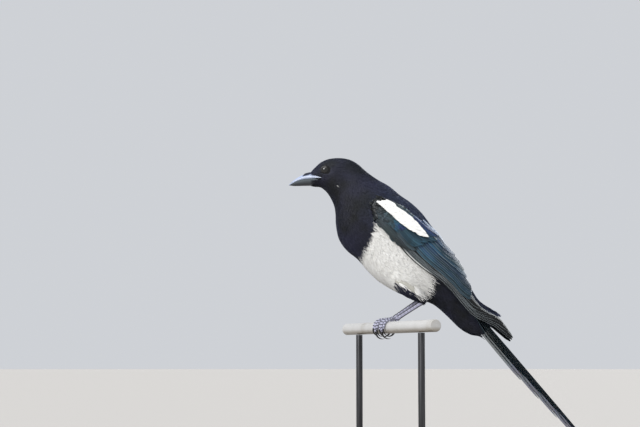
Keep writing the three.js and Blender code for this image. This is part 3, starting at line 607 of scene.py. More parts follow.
# The rump's band and the stripe on each side: middle and reach along the body and round it.
RUMP_PALE = 0.55
BAND_ALONG, BAND_LONG, BAND_WIDE = 163, 6, 0.75
STRIPE_ALONG, STRIPE_LONG, STRIPE_WIDE = 147, 11, 0.15
STRIPE_FROM, STRIPE_SLANT = 0.34, 0.011


def rump_at(distance, angle):
    """How pale the rump's band is, with a stripe that runs forward on each side."""
    round_ = from_back(angle)
    off_stripe = round_ - STRIPE_FROM - (distance - STRIPE_ALONG + 12) * STRIPE_SLANT
    sides = np.exp(-(((distance - STRIPE_ALONG) / STRIPE_LONG) ** 4) - (off_stripe / STRIPE_WIDE) ** 2)
    band = np.exp(-(((distance - BAND_ALONG) / BAND_LONG) ** 2) - (round_ / BAND_WIDE) ** 4)
    return RUMP_PALE * np.maximum(sides, band)


def under_wing(distance, angle):
    """Roots that the folded wings cover."""
    round_ = from_back(angle)
    return (distance > WING_START) & (round_ > WING_FROM) & (round_ < WING_TO)


EYE = (-62.6, 9.4, 158.8)
# No feather's middle may lie this near the gape on the upper bill, or near an eye's lids.
GAPE_X, GAPE_Z, GAPE_ROOM = -67.5, 150.6, 2.1
LID_ROOM = 0.75
EYE_RADIUS = 4.8
EYE_TURN = math.radians(12)
LID_RADIUS = 4.1
LID_THICK = 0.6
# The ear coverts have parted on the left along this line, from x and z to x and z. Painted shade
# lies along it, and a painted glint at its front end.
PARTING = (-49.4, 141.6), (-41.5, 147)
PARTING_HALF = 0.8
PARTING_SAG = 0.9
CHEEK_Y = -8
GLINT_BRIGHTNESS = 0.42
GLINT_LONG, GLINT_SLIM = 0.75, 1.8


def clear_of_face(middle):
    """Drops the feathers that would lie over an eye or the bare edge of the bill."""
    x, y, z = middle[..., 0], np.abs(middle[..., 1]), middle[..., 2]
    over_eye = (np.hypot(x - EYE[0], z - EYE[2]) < LID_RADIUS + LID_ROOM) & (y > 6)
    over_gape = (x < GAPE_X) & (np.abs(z - GAPE_Z) < GAPE_ROOM) & (y > 4)
    return ~(over_eye | over_gape).any(axis=1)


def painted_glint(place):
    """How bright the painted glint at the front of the parting is, and 0 everywhere else."""
    ahead, above = place[:, 0] - PARTING[0][0] + PARTING_HALF, place[:, 2] - PARTING[0][1]
    return GLINT_BRIGHTNESS * ((np.hypot(ahead, above * GLINT_SLIM) < GLINT_LONG) & (place[:, 1] < CHEEK_Y))


def in_parting_shade(place):
    """The line of painted shade where the ear coverts have parted."""
    share = np.clip((place[:, 0] - PARTING[0][0]) / (PARTING[1][0] - PARTING[0][0]), 0, 1)
    line = lerp(PARTING[0][1], PARTING[1][1], share) - PARTING_SAG * np.sin(math.pi * share)
    near = (share > 0) & (share < 1) & (np.abs(place[:, 2] - line) < PARTING_HALF)
    return near & (place[:, 1] < CHEEK_Y)


def unwrap(u, v):
    """Places on the unwrap, inside a margin, from shares of its sides."""
    return 0.02 + 0.95 * np.stack([u, v], axis=-1)


# How far the coat rises over the thigh, and over what depth it starts to rise.
FLANK_RISE = 4.2
FLANK_SOFT = 3


def over_thigh(place):
    """How much higher the flank's coat lies where it passes over the thigh."""
    start, end = thigh_ends("left")
    folded = place * (1, -1, 1)
    folded[..., 1] = -np.abs(place[..., 1])
    way = end - start
    share = np.clip((folded - start) @ way / (way @ way), THIGH_SHARES[0], 1)
    away = np.linalg.norm(folded - start - share[..., None] * way, axis=-1)
    depth = np.interp(share, THIGH_SHARES, THIGH_RADII) - away
    rise = FLANK_SOFT * np.log1p(np.exp(depth / FLANK_SOFT))
    return FLANK_RISE * (1 - np.exp(-rise / FLANK_RISE)) * np.interp(place[..., 0], [28, 44], [1, 0])


def coat(distance, angle, grow=0.0):
    """The surface that the body's small feathers lie in."""
    return body(distance, angle, grow + over_thigh(body(distance, angle)))


def coat_piece(kind, name, feathers, distance, angle, seen):
    """One piece of the coat, coloured by where its feathers are seen. Says which it keeps and their white."""
    rings, places = feathers
    keep = clear_of_face(rings[:, :, 1])
    # Painted shade along the parting: its feathers lose the blue, and its vanes take the darkest tone. The
    # painted glint comes in as white.
    outside_parting_shade = ~in_parting_shade(seen)
    white = np.maximum(white_at(seen, angle), rump_at(distance, angle))
    white = np.maximum(white, painted_glint(seen))
    vary = tone(distance) * rng.uniform(0, 1, len(distance))
    if kind == "plumes":
        vary *= outside_parting_shade
    values = {"white": white, "vary": vary, "gloss": gloss_and_painted_sheen(distance, angle) * outside_parting_shade}
    values = {key: value[keep] for key, value in values.items()}
    roots = unwrap(distance / LENGTHS[-1], np.mod(angle, 2 * math.pi) / (2 * math.pi))[keep]
    piece = shells(kind + "_" + name, rings[keep], values, places[keep], roots)
    finished(piece, CONTOUR, "feather_black")
    return keep, white


def body_plumage(name, start, end, step, gap, span, length, width, barbs):
    """One stretch of the body's coat: vanes in rows, with loose barbs over their ends."""
    distance, angle = rows(start, end, step, gap)
    covered = under_wing(distance, angle)
    count = len(distance)
    long = np.interp(distance, span, length) * rng.uniform(0.88, 1.12, count)
    wide = np.interp(distance, span, width) * rng.uniform(0.88, 1.12, count)
    turn = rng.normal(0, 0.09, count)
    rise = np.where(covered, -1.0, -0.25) + rng.normal(0, 0.06, count)
    feathers = laid(coat, distance, angle, turn, long, wide, -coat_depth(distance), rise, 5, vane_outline)
    seen = feathers[0][:, 3, 1]
    keep, white = coat_piece("plumes", name, feathers, distance, angle, seen)
    loose = np.repeat(np.flatnonzero(keep & ~covered), barbs)
    many = len(loose)
    # White barbs hang in long ragged spikes over the black of the thigh and the vent.
    x, z = seen[loose, 0], seen[loose, 2]
    edge = np.interp(z - np.interp(x, THIGH_XS, THIGH_LINE), [3, 10], [0.9, 0]) * (x > 13)
    fluffy = white[loose] * np.maximum(np.interp(x, [0, 25, 38], [0, 0.15, 1]), edge)
    clump = 0.22 * np.sin(31 * angle[loose] + 0.9 * distance[loose]) * fluffy
    turn = turn[loose] + clump + rng.normal(0, 0.12, many) * (1 + 0.6 * fluffy)
    # Loose barbs start part of the way down their feather.
    long, wide = long[loose], wide[loose]
    distance = distance[loose] + long * rng.uniform(0.1, 0.45, many)
    angle = angle[loose] + rng.normal(0, 0.25, many) * wide / 30
    size = long * rng.uniform(0.55, 0.85, many) * (1 + fluffy * rng.uniform(0.2, 0.9, many))
    fine = np.clip(wide * 0.22, 0.35, 0.8) * rng.uniform(0.8, 1.2, many)
    depth = coat_depth(distance)
    curl = (0.06 + 0.9 * fluffy * rng.uniform(0, 1, many)) * np.clip(depth / 2.4, 0.3, 1)
    sink = -0.55 * depth
    feathers = laid(coat, distance, angle, turn, size, fine, sink, 0.12, 4, barb_outline, curl, 0.2, 0)
    coat_piece("barbs", name, feathers, distance, angle, feathers[0][:, 1, 1])


def gloss_and_painted_sheen(distance, angle):
    """The back's blue gloss, partly the plumage's own and partly painted sheen that is strongest on top and
    fades round the sides; it fades towards the throat and breast.
    """
    down = np.interp(distance, [20, 60, 90, 130, 200], [0.25, 0.15, 0.75, 1, 0.6])
    return np.clip(1.6 - from_back(angle) / 1.2, 0, 1) * down


# Flight feathers

MARGIN = -0.975
ACROSS = np.array([-1, MARGIN, -0.95, -0.4, -0.08, 0, 0.08, 0.45, 1])
QUILL_STEPS = 14
QUILL_SHARP = 35
quill_outline = profile([0, 0.3, 0.65, 0.88, 0.96, 0.99, 1], [0.4, 0.86, 1, 0.86, 0.56, 0.3, 0.12])


def quill_rings(place, width, length, thick, camber, lift):
    """Rings of one long vane. place gives points for shares along, offsets across and heights."""
    share = 1 - (1 - np.linspace(0, 1, QUILL_STEPS)) ** 1.35
    wide = quill_outline(share)
    ragged = 1 + rng.normal(0, 0.012, (QUILL_STEPS, len(ACROSS))) * (np.abs(ACROSS) > 0.9)
    out = ACROSS * ragged * (width / 2) * wide[:, None]
    arch = camber * (1 - ACROSS**2) * wide[:, None] - ACROSS * lift / 2 * wide[:, None]
    body_ = thick * (0.3 + 0.7 * (1 - np.abs(ACROSS) ** 2)) + 0.16 * (ACROSS == 0)
    along = np.broadcast_to(share[:, None], out.shape)
    top = place(along, out, arch + body_)
    bottom = place(along, out, arch)
    rings = np.concatenate([top, bottom[:, ::-1]], axis=1)
    spot = np.stack([out, along * length], axis=-1)
    return rings, np.concatenate([spot, spot[:, ::-1]], axis=1)


def vane_row(count, first, last):
    """A row of vanes between its first and last: root and tip (along, girth, height), width, lift."""
    first, last = np.array(first, float), np.array(last, float)
    return [lerp(first, last, share) for share in np.linspace(0, 1, count)]


# The wing's rows. Each vane: root along, girth, height, tip along, girth, height, width and lift.
PRIMARIES = vane_row(4, (120, 0.8, 0.8, 214, 1.6, 0.8, 7.5, 1.8), (122, 2.8, 1.6, 284, 5, 1.4, 9.5, 2.2))
PRIMARIES += vane_row(6, (123, 3.2, 2.1, 281, 7.0, 2.0, 9.5, 2.2), (127, 5.6, 4.1, 238, 10, 4.0, 9.5, 2.2))
SECONDARIES = vane_row(7, (128, 9.4, 4.6, 224, 8.4, 4.7, 12, 3.2), (130, 19, 5.2, 216, 18, 5.1, 12.5, 3.4))
TERTIALS = vane_row(4, (130, 21.5, 5.3, 208, 21.4, 5.2, 13.5, 3.4), (130, 29.5, 5.3, 184, 30.5, 5.2, 14, 3.4))
PRIMARY_COVERTS = vane_row(6, (102, 0.6, 2.8, 133, 1.2, 4, 5.5, 1.4), (112, 5.6, 4.2, 146, 6, 6.4, 6.5, 1.7))
GREATER_COVERTS = vane_row(10, (116, 7.6, 5, 145, 8.2, 7.6, 6.6, 1.7), (120, 25, 5, 155, 26.5, 8.2, 7.2, 1.8))
ALULA = vane_row(3, (94, 0.9, 2.6, 119, 0.4, 4.2, 5, 1.2), (97, 3.6, 3.6, 126, 3.2, 5.2, 5.6, 1.4))


# The white margin of the second lowest primary shows for this stretch of the bed.
WHITE_LINE = (137, 168)


def wing_quills(side, name):
    """The folded wing's long feathers and greater coverts, with a painted highlight on their margins and
    painted shade just inside them.
    """
    surface = bed(side)
    rings, places = [], []
    values = {key: [] for key in ("white", "gloss", "vary", "pale", "black")}
    # Each row with its shine, its camber, how strong the painted highlight on its margins is and how dark the
    # painted shade just inside them is.
    groups = (
        (PRIMARIES, 0.1, 0.35, 0.9, 1), (SECONDARIES, 0.6, 0.4, 0.4, 0.5), (TERTIALS, 0.62, 0.4, 0.6, 0.5),
        (PRIMARY_COVERTS, 0.14, 0.35, 0.2, 0.35), (GREATER_COVERTS, 0.6, 0.35, 0.12, 0.45),
        (ALULA, 0.12, 0.3, 0.25, 0.4),
    )
    # The outer margin, which carries the painted highlight, is the first place across, and the painted shade
    # lies just inside it.
    across = np.concatenate([ACROSS, ACROSS[::-1]])[None, :]
    margin = across < MARGIN + 0.01
    inside = ~margin & (across < 0.1)
    for row, shine, camber, pale, black in groups:
        for i, vane in enumerate(row):
            root, tip, (width, lift) = vane[:3], vane[3:6], vane[6:]
            root = root + rng.normal(0, 0.15, 3) * (0.5, 1, 0)
            tip = tip + rng.normal(0, 0.5, 3) * (4 if row is GREATER_COVERTS else 1.5, 0.4, 0)

            def place(share, out, height):
                along, girth, high = (lerp(a, b, share) for a, b in zip(root, tip))
                return surface(along, girth + out, high + height)

            ring, spot = quill_rings(place, width, tip[0] - root[0], 0.3, camber, lift)
            rings.append(ring)
            places.append(spot)
            along = root[0] + spot[..., 1]
            lit = (along > WHITE_LINE[0]) & (along < WHITE_LINE[1]) & (across < -0.9)
            values["white"].append(0.9 * lit * (row is PRIMARIES and i == 1))
            # Painted highlight on the margins and painted shade just inside them, but not over the white
            # line.
            values["pale"].append(pale * (margin & (along > -1)) * (i > 1 or row is not PRIMARIES))
            values["black"].append(black * (inside & ~lit))
            values["gloss"].append(shine + rng.normal(0, 0.05) + 0.1 * i / len(row))
            values["vary"].append(rng.uniform(0.2, 1))
    piece = shells("quills_" + name, np.array(rings), values, places, sharp=QUILL_SHARP)
    finished(piece, QUILL, "feather_gloss", "wing_" + name)


# The folded arm: distance, front and back reach, girth, low and high reach, height and depth.
ARM_ALONG, ARM_LONG = 112, 34
ARM_GIRTH, ARM_LOW, ARM_HIGH = 12.5, 13.5, 16
ARM_TALL, ARM_DEEP = 6, 3


def off_arm(along, girth):
    """How far places lie from the arm's middle, squared, in shares of its reach."""
    reach = np.where(girth < ARM_GIRTH, ARM_LOW, ARM_HIGH)
    return ((along - ARM_ALONG) / ARM_LONG) ** 2 + ((girth - ARM_GIRTH) / reach) ** 2


def wing_arm(side, name):
    """The flesh of the folded arm, under the small coverts."""
    out, up = np.cos(turns(28)), np.sin(turns(28))
    rings = []
    for x in np.sin(np.linspace(-1, 1, 25) * 1.52):
        reach = math.sqrt(1 - x**2)
        girth = ARM_GIRTH + reach * out * np.where(out < 0, ARM_LOW, ARM_HIGH)
        high = reach * up * np.where(up > 0, ARM_TALL, ARM_DEEP) - 0.5
        rings.append(bed(side)(np.full(28, ARM_ALONG + ARM_LONG * x), girth, high))
    finished(lofted("arm_" + name, [rings]), SKIN, "feather_gloss", "wing_" + name)


# Where the small coverts' rows lie along the wing, and the roots of a row up it.
COVERT_ROWS = np.arange(76.5, 128, 2.6)
COVERT_GAP = 2.9
COVERT_GIRTHS = np.arange(-2.5, 29, COVERT_GAP)


def small_coverts(side, name):
    """The lesser and median coverts, which shingle the arm."""

    def surface(along, girth, height=0.0):
        arm = ARM_TALL * np.sqrt(np.clip(1 - off_arm(along, girth), 0, 1))
        return bed(side)(along, girth, arm * 0.94 + height)

    along, girth = (part.ravel() for part in np.meshgrid(COVERT_ROWS, COVERT_GIRTHS, indexing="ij"))
    girth = girth + COVERT_GAP / 2 * (np.arange(len(girth)) // len(COVERT_GIRTHS) % 2)
    inside = off_arm(along + 4, girth) < 1
    count = inside.sum()
    along = along[inside] + rng.normal(0, 0.4, count)
    girth = girth[inside] + rng.normal(0, 0.35, count)
    long = np.interp(along, [78, 100, 128], [6.5, 9.5, 14]) * rng.uniform(0.9, 1.1, count)
    wide = np.interp(along, [78, 100, 128], [4.0, 5.2, 6.6]) * rng.uniform(0.9, 1.1, count)
    turn = rng.normal(0, 0.06, count)
    rise = np.interp(along, [80, 128], [0.5, 1.5])
    rings, spots = laid(surface, along, girth, turn, long, wide, -0.7, rise, 6, vane_outline, 0, 0.25, 0.12)
    # Olive grey at the shoulder and along the lower edge, then blue, with a violet patch in the middle.
    gloss = np.interp(along, [80, 98, 108, 128], [0.22, 0.34, 0.62, 0.55])
    gloss += 0.3 * np.exp(-(((along - 110) / 7) ** 2) - ((girth - 9) / 4) ** 2)
    gloss = gloss * np.interp(girth, [-2, 5, 9], [0.45, 0.8, 1]) + rng.normal(0, 0.05, count)
    black = np.interp(along, [82, 91], [0.9, 0])
    values = {"white": 0, "gloss": gloss, "vary": rng.uniform(0.2, 1, count), "black": black}
    roots = np.stack([0.02 + 0.95 * (along - 70) / 70, 0.35 + 0.01 * girth], axis=-1)
    piece = shells("coverts_" + name, rings, values, spots, roots)
    finished(piece, QUILL, "feather_gloss", "wing_" + name)


# The white patch over the shoulder: distance along, and girth of its middle and half width.
PATCH_ALONG = [82, 83.5, 86, 89.5, 94.5, 99, 105.5, 112.5, 120, 127.5, 134.5, 141, 147]
PATCH_MIDDLE = [10.4, 12.2, 13.7, 15.5, 15.8, 15.6, 15.1, 15.4, 16, 16.7, 17.7, 18.5, 18.6]
PATCH_HALF = [0.4, 1.8, 3.1, 4.3, 4.1, 4.2, 4.6, 4.6, 4.4, 3.5, 2.6, 1.8, 0.3]


# Steps between the scapulars' rows and roots.
SCAPULAR_STEP = 1.9


def scapulars(side, name):
    """White scapulars, which lie in a long patch over the shoulder."""

    def surface(along, girth, height=0.0):
        lie = np.interp(along, [78, 86, 112, 146], [4.6, 6.2, 7.6, 10])
        return bed(side)(along, girth, lie + height)

    places = []
    for i, start in enumerate(np.arange(81.5, 134, SCAPULAR_STEP)):
        middle, half = (np.interp(start + 2.5, PATCH_ALONG, v) for v in (PATCH_MIDDLE, PATCH_HALF))
        room = max(0.0, min(half, np.interp(start + 9, PATCH_ALONG, PATCH_HALF) + 0.5) - 1.6)
        girth = middle + np.linspace(-room, room, 1 + int(room * 2 / SCAPULAR_STEP)) + 0.5 * (i % 2)
        places.append(np.stack([np.full(len(girth), start), girth]))
    along, girth = np.concatenate(places, axis=1)
    count = len(along)
    along = along + rng.normal(0, 0.5, count)
    girth = girth + rng.normal(0, 0.15, count)
    ahead, here = (np.interp(along + k, PATCH_ALONG, PATCH_MIDDLE) for k in (12, 0))
    turn = (ahead - here) / 14
    long = np.interp(along, [78, 110, 132], [11, 15, 13]) * rng.uniform(0.92, 1.08, count)
    wide = np.interp(along, [78, 100, 132], [3.6, 5.0, 4.2]) * rng.uniform(0.9, 1.1, count)
    rings, spots = laid(surface, along, girth, turn, long, wide, -0.9, 0.5, 6, vane_outline, 0, 0.22, 0.15)
    values = {"white": 1, "gloss": 0, "vary": rng.uniform(0.4, 1, count)}
    roots = np.stack([0.02 + 0.95 * (along - 70) / 90, 0.3 + 0.01 * girth], axis=-1)
    piece = shells("scapulars_feathers_" + name, rings, values, spots, roots)
    finished(piece, CONTOUR, "feather_white", "scapulars_" + name)


# The tail: twelve feathers, the middle pair longest and on top.
TAIL_ROOT = np.array([72.0, 0, 39])
TAIL_DROP = math.radians(50)
TAIL_LENGTH = 245
TAIL_HIDDEN = 24
TAIL_WIDTH = 25
TAIL_RANKS = [1, 0.93, 0.83, 0.72, 0.61, 0.5]
TAIL_SPREAD = [0.8, 1.9, 3, 4.1, 5.2, 6.4]
TAIL_STEP = 0.86


def tail():
    """The long graduated tail, green and bronze with a violet band near its end."""
    normal = np.array([math.sin(TAIL_DROP), 0, math.cos(TAIL_DROP)])
    rings, places, gloss, vary = [], [], [], []
    for layer in range(2 * len(TAIL_RANKS)):
        rank, side = layer // 2, 2 * (layer % 2) - 1
        angle = side * math.radians(TAIL_SPREAD[rank])
        forward = np.array([math.cos(TAIL_DROP), 0, -math.sin(TAIL_DROP)]) * math.cos(angle)
        forward[1] = math.sin(angle)
        across = np.cross(forward, normal)
        length = TAIL_LENGTH * TAIL_RANKS[rank]

        def place(share, out, height):
            sink = -0.5 - layer * TAIL_STEP * np.minimum(1, 0.25 + share * 2) + height
            run = TAIL_HIDDEN + (length - TAIL_HIDDEN) * share
            return TAIL_ROOT + run[..., None] * forward + out[..., None] * across + sink[..., None] * normal

        ring, spot = quill_rings(place, TAIL_WIDTH, length, 0.3, 0.12, 0.0)
        rings.append(ring)
        places.append(spot)
        down = spot[..., 1] / length
        gloss.append(np.interp(down, [0, 0.3, 0.7, 0.82, 0.92, 1], [0.3, 0.42, 0.45, 0.75, 1, 0.55]))
        vary.append(rng.uniform(0.4, 1))
    values = {"white": 0, "gloss": gloss, "vary": vary}
    piece = shells("tail_quills", np.array(rings), values, places, sharp=QUILL_SHARP)
    finished(piece, QUILL, "feather_gloss", "tail")


# The skin

SKIN_ROUND = 44
THIGH_ROUND = 24
VOXEL = 0.0011
FLESH = ("head", "neck", "breast", "back", "belly", "vent", "tail_coverts", "thigh_left", "thigh_right")


def skin():
    """One skin under the coat, from the bill's root to the tail, with the thighs grown into it."""
    trunk = [
        body(np.full(SKIN_ROUND, distance), turns(SKIN_ROUND), -coat_depth(distance))
        for distance in np.linspace(0.5, BODY_LENGTH - 4, 70)
    ]
    skins = [trunk]
    for _, name in SIDES:
        down = THIGH_LENGTH[name] * np.linspace(THIGH_SHARES[0] + 0.03, 0.98, 16)
        skins.append([thigh(name)(np.full(THIGH_ROUND, along), turns(THIGH_ROUND), -1.4) for along in down])
    piece = lofted("skin", skins)
    bpy.context.scene.collection.objects.link(piece)
    bpy.context.view_layer.objects.active = piece
    melt = piece.modifiers.new("one_skin", "REMESH")
    melt.mode = "VOXEL"
    melt.voxel_size = VOXEL
    melt.use_smooth_shade = True
    bpy.ops.object.modifier_apply(modifier=melt.name)
    mesh = piece.data
    places = np.empty(len(mesh.vertices) * 3)
    mesh.vertices.foreach_get("co", places)
    places = places.reshape(-1, 3) * 1000 - BIRD
    white = white_at(places, nearest_rib(places)[0])
    mesh.attributes.new("white", "FLOAT", "POINT").data.foreach_set("value", white)
    finished(piece, SKIN, "feather_black", *FLESH)


RIB_STEPS = np.linspace(0, BODY_LENGTH, 260)
AT_ONCE = 4000


def nearest_rib(places):
    """Angle round the body and share of its reach, for each place."""
    centre, up, tall, wide, _, _ = rib_at(RIB_STEPS)
    along = unit(np.gradient(centre, axis=0))
    flat = places[:, [0, 2]]
    off = np.empty(len(flat), int)
    for i in range(0, len(flat), AT_ONCE):
        away = flat[i : i + AT_ONCE, None] - centre[None]
        out = np.abs(np.sum(away * along, axis=-1)) + 0.05 * np.linalg.norm(away, axis=-1)
        off[i : i + AT_ONCE] = out.argmin(axis=1)
    high = np.sum((flat - centre[off]) * up[off], axis=-1) / tall[off]
    out = places[:, 1] / wide[off]
    return np.arctan2(out, high), np.hypot(high, out)


# Legs

SIDES = ((-1, "left"), (1, "right"))
PERCH_LENGTH = 200
PERCH_TURN = math.radians(25)
PERCH_SHIFT = 8
GRIP_X = 0.5
FEET_APART = 14
ALONG_PERCH = np.array([math.sin(PERCH_TURN), -math.cos(PERCH_TURN), 0])
ACROSS_PERCH = np.array([-math.cos(PERCH_TURN), -math.sin(PERCH_TURN), 0])
KNEES = {"left": (14, -12.6, 44.5), "right": (14, 12.6, 47.5)}
ANKLES = {"left": (40, -13, 21), "right": (41, 13, 26)}
JOINT_BEHIND = {"left": 10, "right": 12}
JOINT_ABOVE = 3.4
SHANK_START = 1.8
THIGH_SHARES = [-0.24, -0.14, 0, 0.25, 0.5, 0.75, 1]
THIGH_RADII = [4.2, 8, 9.8, 10.2, 9, 6.4, 3.4]
SHANK_SHARES = [0, 0.12, 0.3, 0.6, 0.85, 0.95, 1]
SHANK_RADII = [2.3, 2.2, 2.15, 2.2, 2.4, 2.8, 2.4]
SHANK_FLAT = 0.72


def grip(side):
    return np.array([GRIP_X, 0, -PERCH_RADIUS]) - ALONG_PERCH * side * FEET_APART / 2


def foot_joint(side, name):
    """Where the toes and the shank meet."""
    return grip(side) - ACROSS_PERCH * JOINT_BEHIND[name] + (0, 0, PERCH_RADIUS + JOINT_ABOVE)


def shank_ends(side, name):
    joint, high = foot_joint(side, name), np.array(ANKLES[name], float)
    return joint + SHANK_START * unit(high - joint), high


def thigh_ends(name):
    side = -1 if name == "left" else 1
    low, high = shank_ends(side, name)
    return np.array(KNEES[name], float), high + 0.54 * unit(high - low)


THIGH_LENGTH = {name: float(np.linalg.norm(np.subtract(*thigh_ends(name)))) for _, name in SIDES}


def thigh(name):
    """The thigh's surface, by distance down it and angle round it."""
    start, end = thigh_ends(name)
    way = unit(end - start)
    first = unit(np.cross([0, 1, 0], way))
    second = np.cross(way, first)

    def at(along, angle, grow=0.0):
        share = np.asarray(along) / THIGH_LENGTH[name]
        radius = np.interp(share, THIGH_SHARES, THIGH_RADII) + grow
        out = np.cos(angle)[..., None] * first + np.sin(angle)[..., None] * second
        return start + share[..., None] * (end - start) + radius[..., None] * out

    return at


THIGH_ROW = 1.5
THIGH_GAP = 1.8
# The thigh's feathers are white if their tips, this far down it, lie in the white.
THIGH_REACH = 4.5
ON_BELLY = 2.0


def thigh_plumage(side, name):
    """The thigh's coat: white flank feathers hang over its top, and the rest is black."""
    surface = thigh(name)
    whole = THIGH_LENGTH[name]
    places = []
    for i, along in enumerate(np.arange(THIGH_SHARES[0] * whole + 0.3, whole - 2, THIGH_ROW)):
        radius = np.interp(along / whole, THIGH_SHARES, THIGH_RADII)
        many = max(6, int(2 * math.pi * radius / THIGH_GAP))
        places.append(np.stack([np.full(many, along), staggered(many, i) + rng.normal(0, 0.05, many)]))
    along, angle = np.concatenate(places, axis=1)
    roots = surface(along, angle)
    reach = THIGH_REACH * unit(np.subtract(*thigh_ends(name)[::-1]))
    # The flank's own white feathers hang over the thigh.
    flank = (roots[:, 0] < 30) & (white_at(roots + reach, ON_BELLY) > 0)
    outside = (nearest_rib(roots)[1] > 0.93) & ~flank
    along, angle, roots = along[outside], angle[outside], roots[outside]
    for kind, many, steps, outline in (("plumes", 1, 5, vane_outline), ("barbs", 5, 4, barb_outline)):
        pick = np.repeat(np.arange(len(along)), many)
        count = len(pick)
        u = along[pick] + rng.normal(0, 0.5, count)
        v = angle[pick] + rng.normal(0, 0.06, count)
        white = white_at(roots[pick] + reach, ON_BELLY)
        # White barbs hang in long spikes over the black.
        fringe = white * (kind == "barbs") * np.interp(roots[pick, 0], [16, 30], [0, 1])
        long = np.interp(u, [0, whole], [10, 5]) * rng.uniform(0.8, 1.15, count) * (1 + 0.6 * fringe)
        wide = np.full(count, 2.8) if kind == "plumes" else rng.uniform(0.35, 0.75, count)
        turn = rng.normal(0, 0.1 if kind == "plumes" else 0.22, count)
        curl = rng.uniform(0, 1.6, count) * (0.5 + 0.8 * fringe) if kind == "barbs" else 0.0
        rings, spots = laid(surface, u, v, turn, long, wide, -1.3, 0.1, steps, outline, curl, 0.2, 0.1)
        values = {"white": white, "vary": rng.uniform(0, 1, count), "gloss": 0}
        piece = shells(kind + "_thigh_" + name, rings, values, spots, unwrap(u / 60, v % (2 * math.pi) / 7))
        finished(piece, CONTOUR, "feather_black")


def tube(points, radii, fixed, sides, flat=1.0):
    """Rings along a line of points. One of their two ways is kept square to the fixed vector."""
    along = unit(np.gradient(points, axis=0))
    raised = unit(np.cross(along, fixed))
    across = unit(np.cross(raised, along))
    angle = turns(sides)[None, :, None]
    radii = radii[..., None] if radii.ndim == 2 else radii[:, None, None]
    out = np.cos(angle) * across[:, None] * flat + np.sin(angle) * raised[:, None]
    return points[:, None] + radii * out


# Distance between the scutes of the toes and of the shank.
SCUTE = 3
SHANK_PITCH = 3.9


def scutes(run, sides, pitch, strong):
    """Overlapping scutes along a toe or shank: swell and dark line for each point, by its distance."""
    angle = turns(sides)[None, :]
    upper = np.clip(0.35 + np.sin(angle), 0, 1)
    phase = np.mod(run[:, None] / pitch + 0.12 * np.cos(angle), 1)
    swell = 1 + strong * upper * (phase - 0.5)
    line = np.clip(1.5 - np.minimum(phase, 1 - phase) * 6.5, 0, 1) * np.clip(upper * 1.6, 0.5, 1)
    return swell, line
SHANK_STEPS = 110
SHANK_ROUND = 24


def shank(side, name):
    """The bare shank, flat-sided, with broad scutes in front and painted shade along its upper and lower
    edges.
    """
    low, high = shank_ends(side, name)
    share = np.linspace(0, 1, SHANK_STEPS)
    points = low + (high - low) * share[:, None]
    radii = np.interp(share, SHANK_SHARES, SHANK_RADII)
    swell, line = scutes(lengths(points), SHANK_ROUND, SHANK_PITCH, 0.1)
    # Painted shade on the upper and lower sides, over the dark lines between the scutes.
    edge = np.abs(np.sin(turns(SHANK_ROUND)))[None, :]
    marks = np.maximum(0.45 * line, np.interp(edge, [0.5, 0.72], [0, 1]))
    rings = tube(points, radii[:, None] * swell, np.array([0.0, 1, 0]), SHANK_ROUND, SHANK_FLAT)
    finished(lofted("scaly_shank_" + name, [rings], marks=[marks]), SCALES, "leg_scales", "shank_" + name)


# Toes: name, angles where the bend round the perch starts and ends, sideways, straight end,
# radius and length of the claw.
Toe = namedtuple("Toe", "name start end sideways straight radius claw")
TOES = (
    Toe("inner", 4, 84, 3.8, 3, 1.6, 11), Toe("middle", 6, 97, 0, 3.6, 1.8, 14),
    Toe("outer", 4, 80, -4.4, 3, 1.5, 10), Toe("hind", -86, -104, 2, 1.5, 1.9, 13),
)
TOE_TAPER = 0.28
GRIP_GAP = 0.45
CLAW_BEND = math.radians(100)
# The pad where the toes meet, and the pads under each toe: how far apart.
PAD = np.array([3.6, 3, 2.6])
PAD_PITCH = 4.6
TOE_ROUND = 16


def toe_line(side, name, toe):
    """Points along a toe, from the foot's joint to the perch, round it and straight on, and its heading."""
    out = PERCH_RADIUS + GRIP_GAP + toe.radius
    joint = foot_joint(side, name)

    def bent(angle, aside):
        up = np.cos(angle)[:, None] * np.array([0, 0, 1.0])
        around = grip(side) + out * (np.sin(angle)[:, None] * ACROSS_PERCH + up)
        return around + side * toe.sideways * aside[:, None] * ALONG_PERCH

    reach = np.linspace(0, 1, 24, endpoint=False)
    first = joint + (bent(np.full(24, math.radians(toe.start)), reach) - joint) * reach[:, None]
    angle = np.radians(np.linspace(toe.start, toe.end, 36))
    curved = bent(angle, np.ones(36))
    heading = unit(curved[-1] - curved[-2])
    more = curved[-1] + heading * np.linspace(0, toe.straight, 10)[1:, None]
    return np.concatenate([first, curved, more]), heading


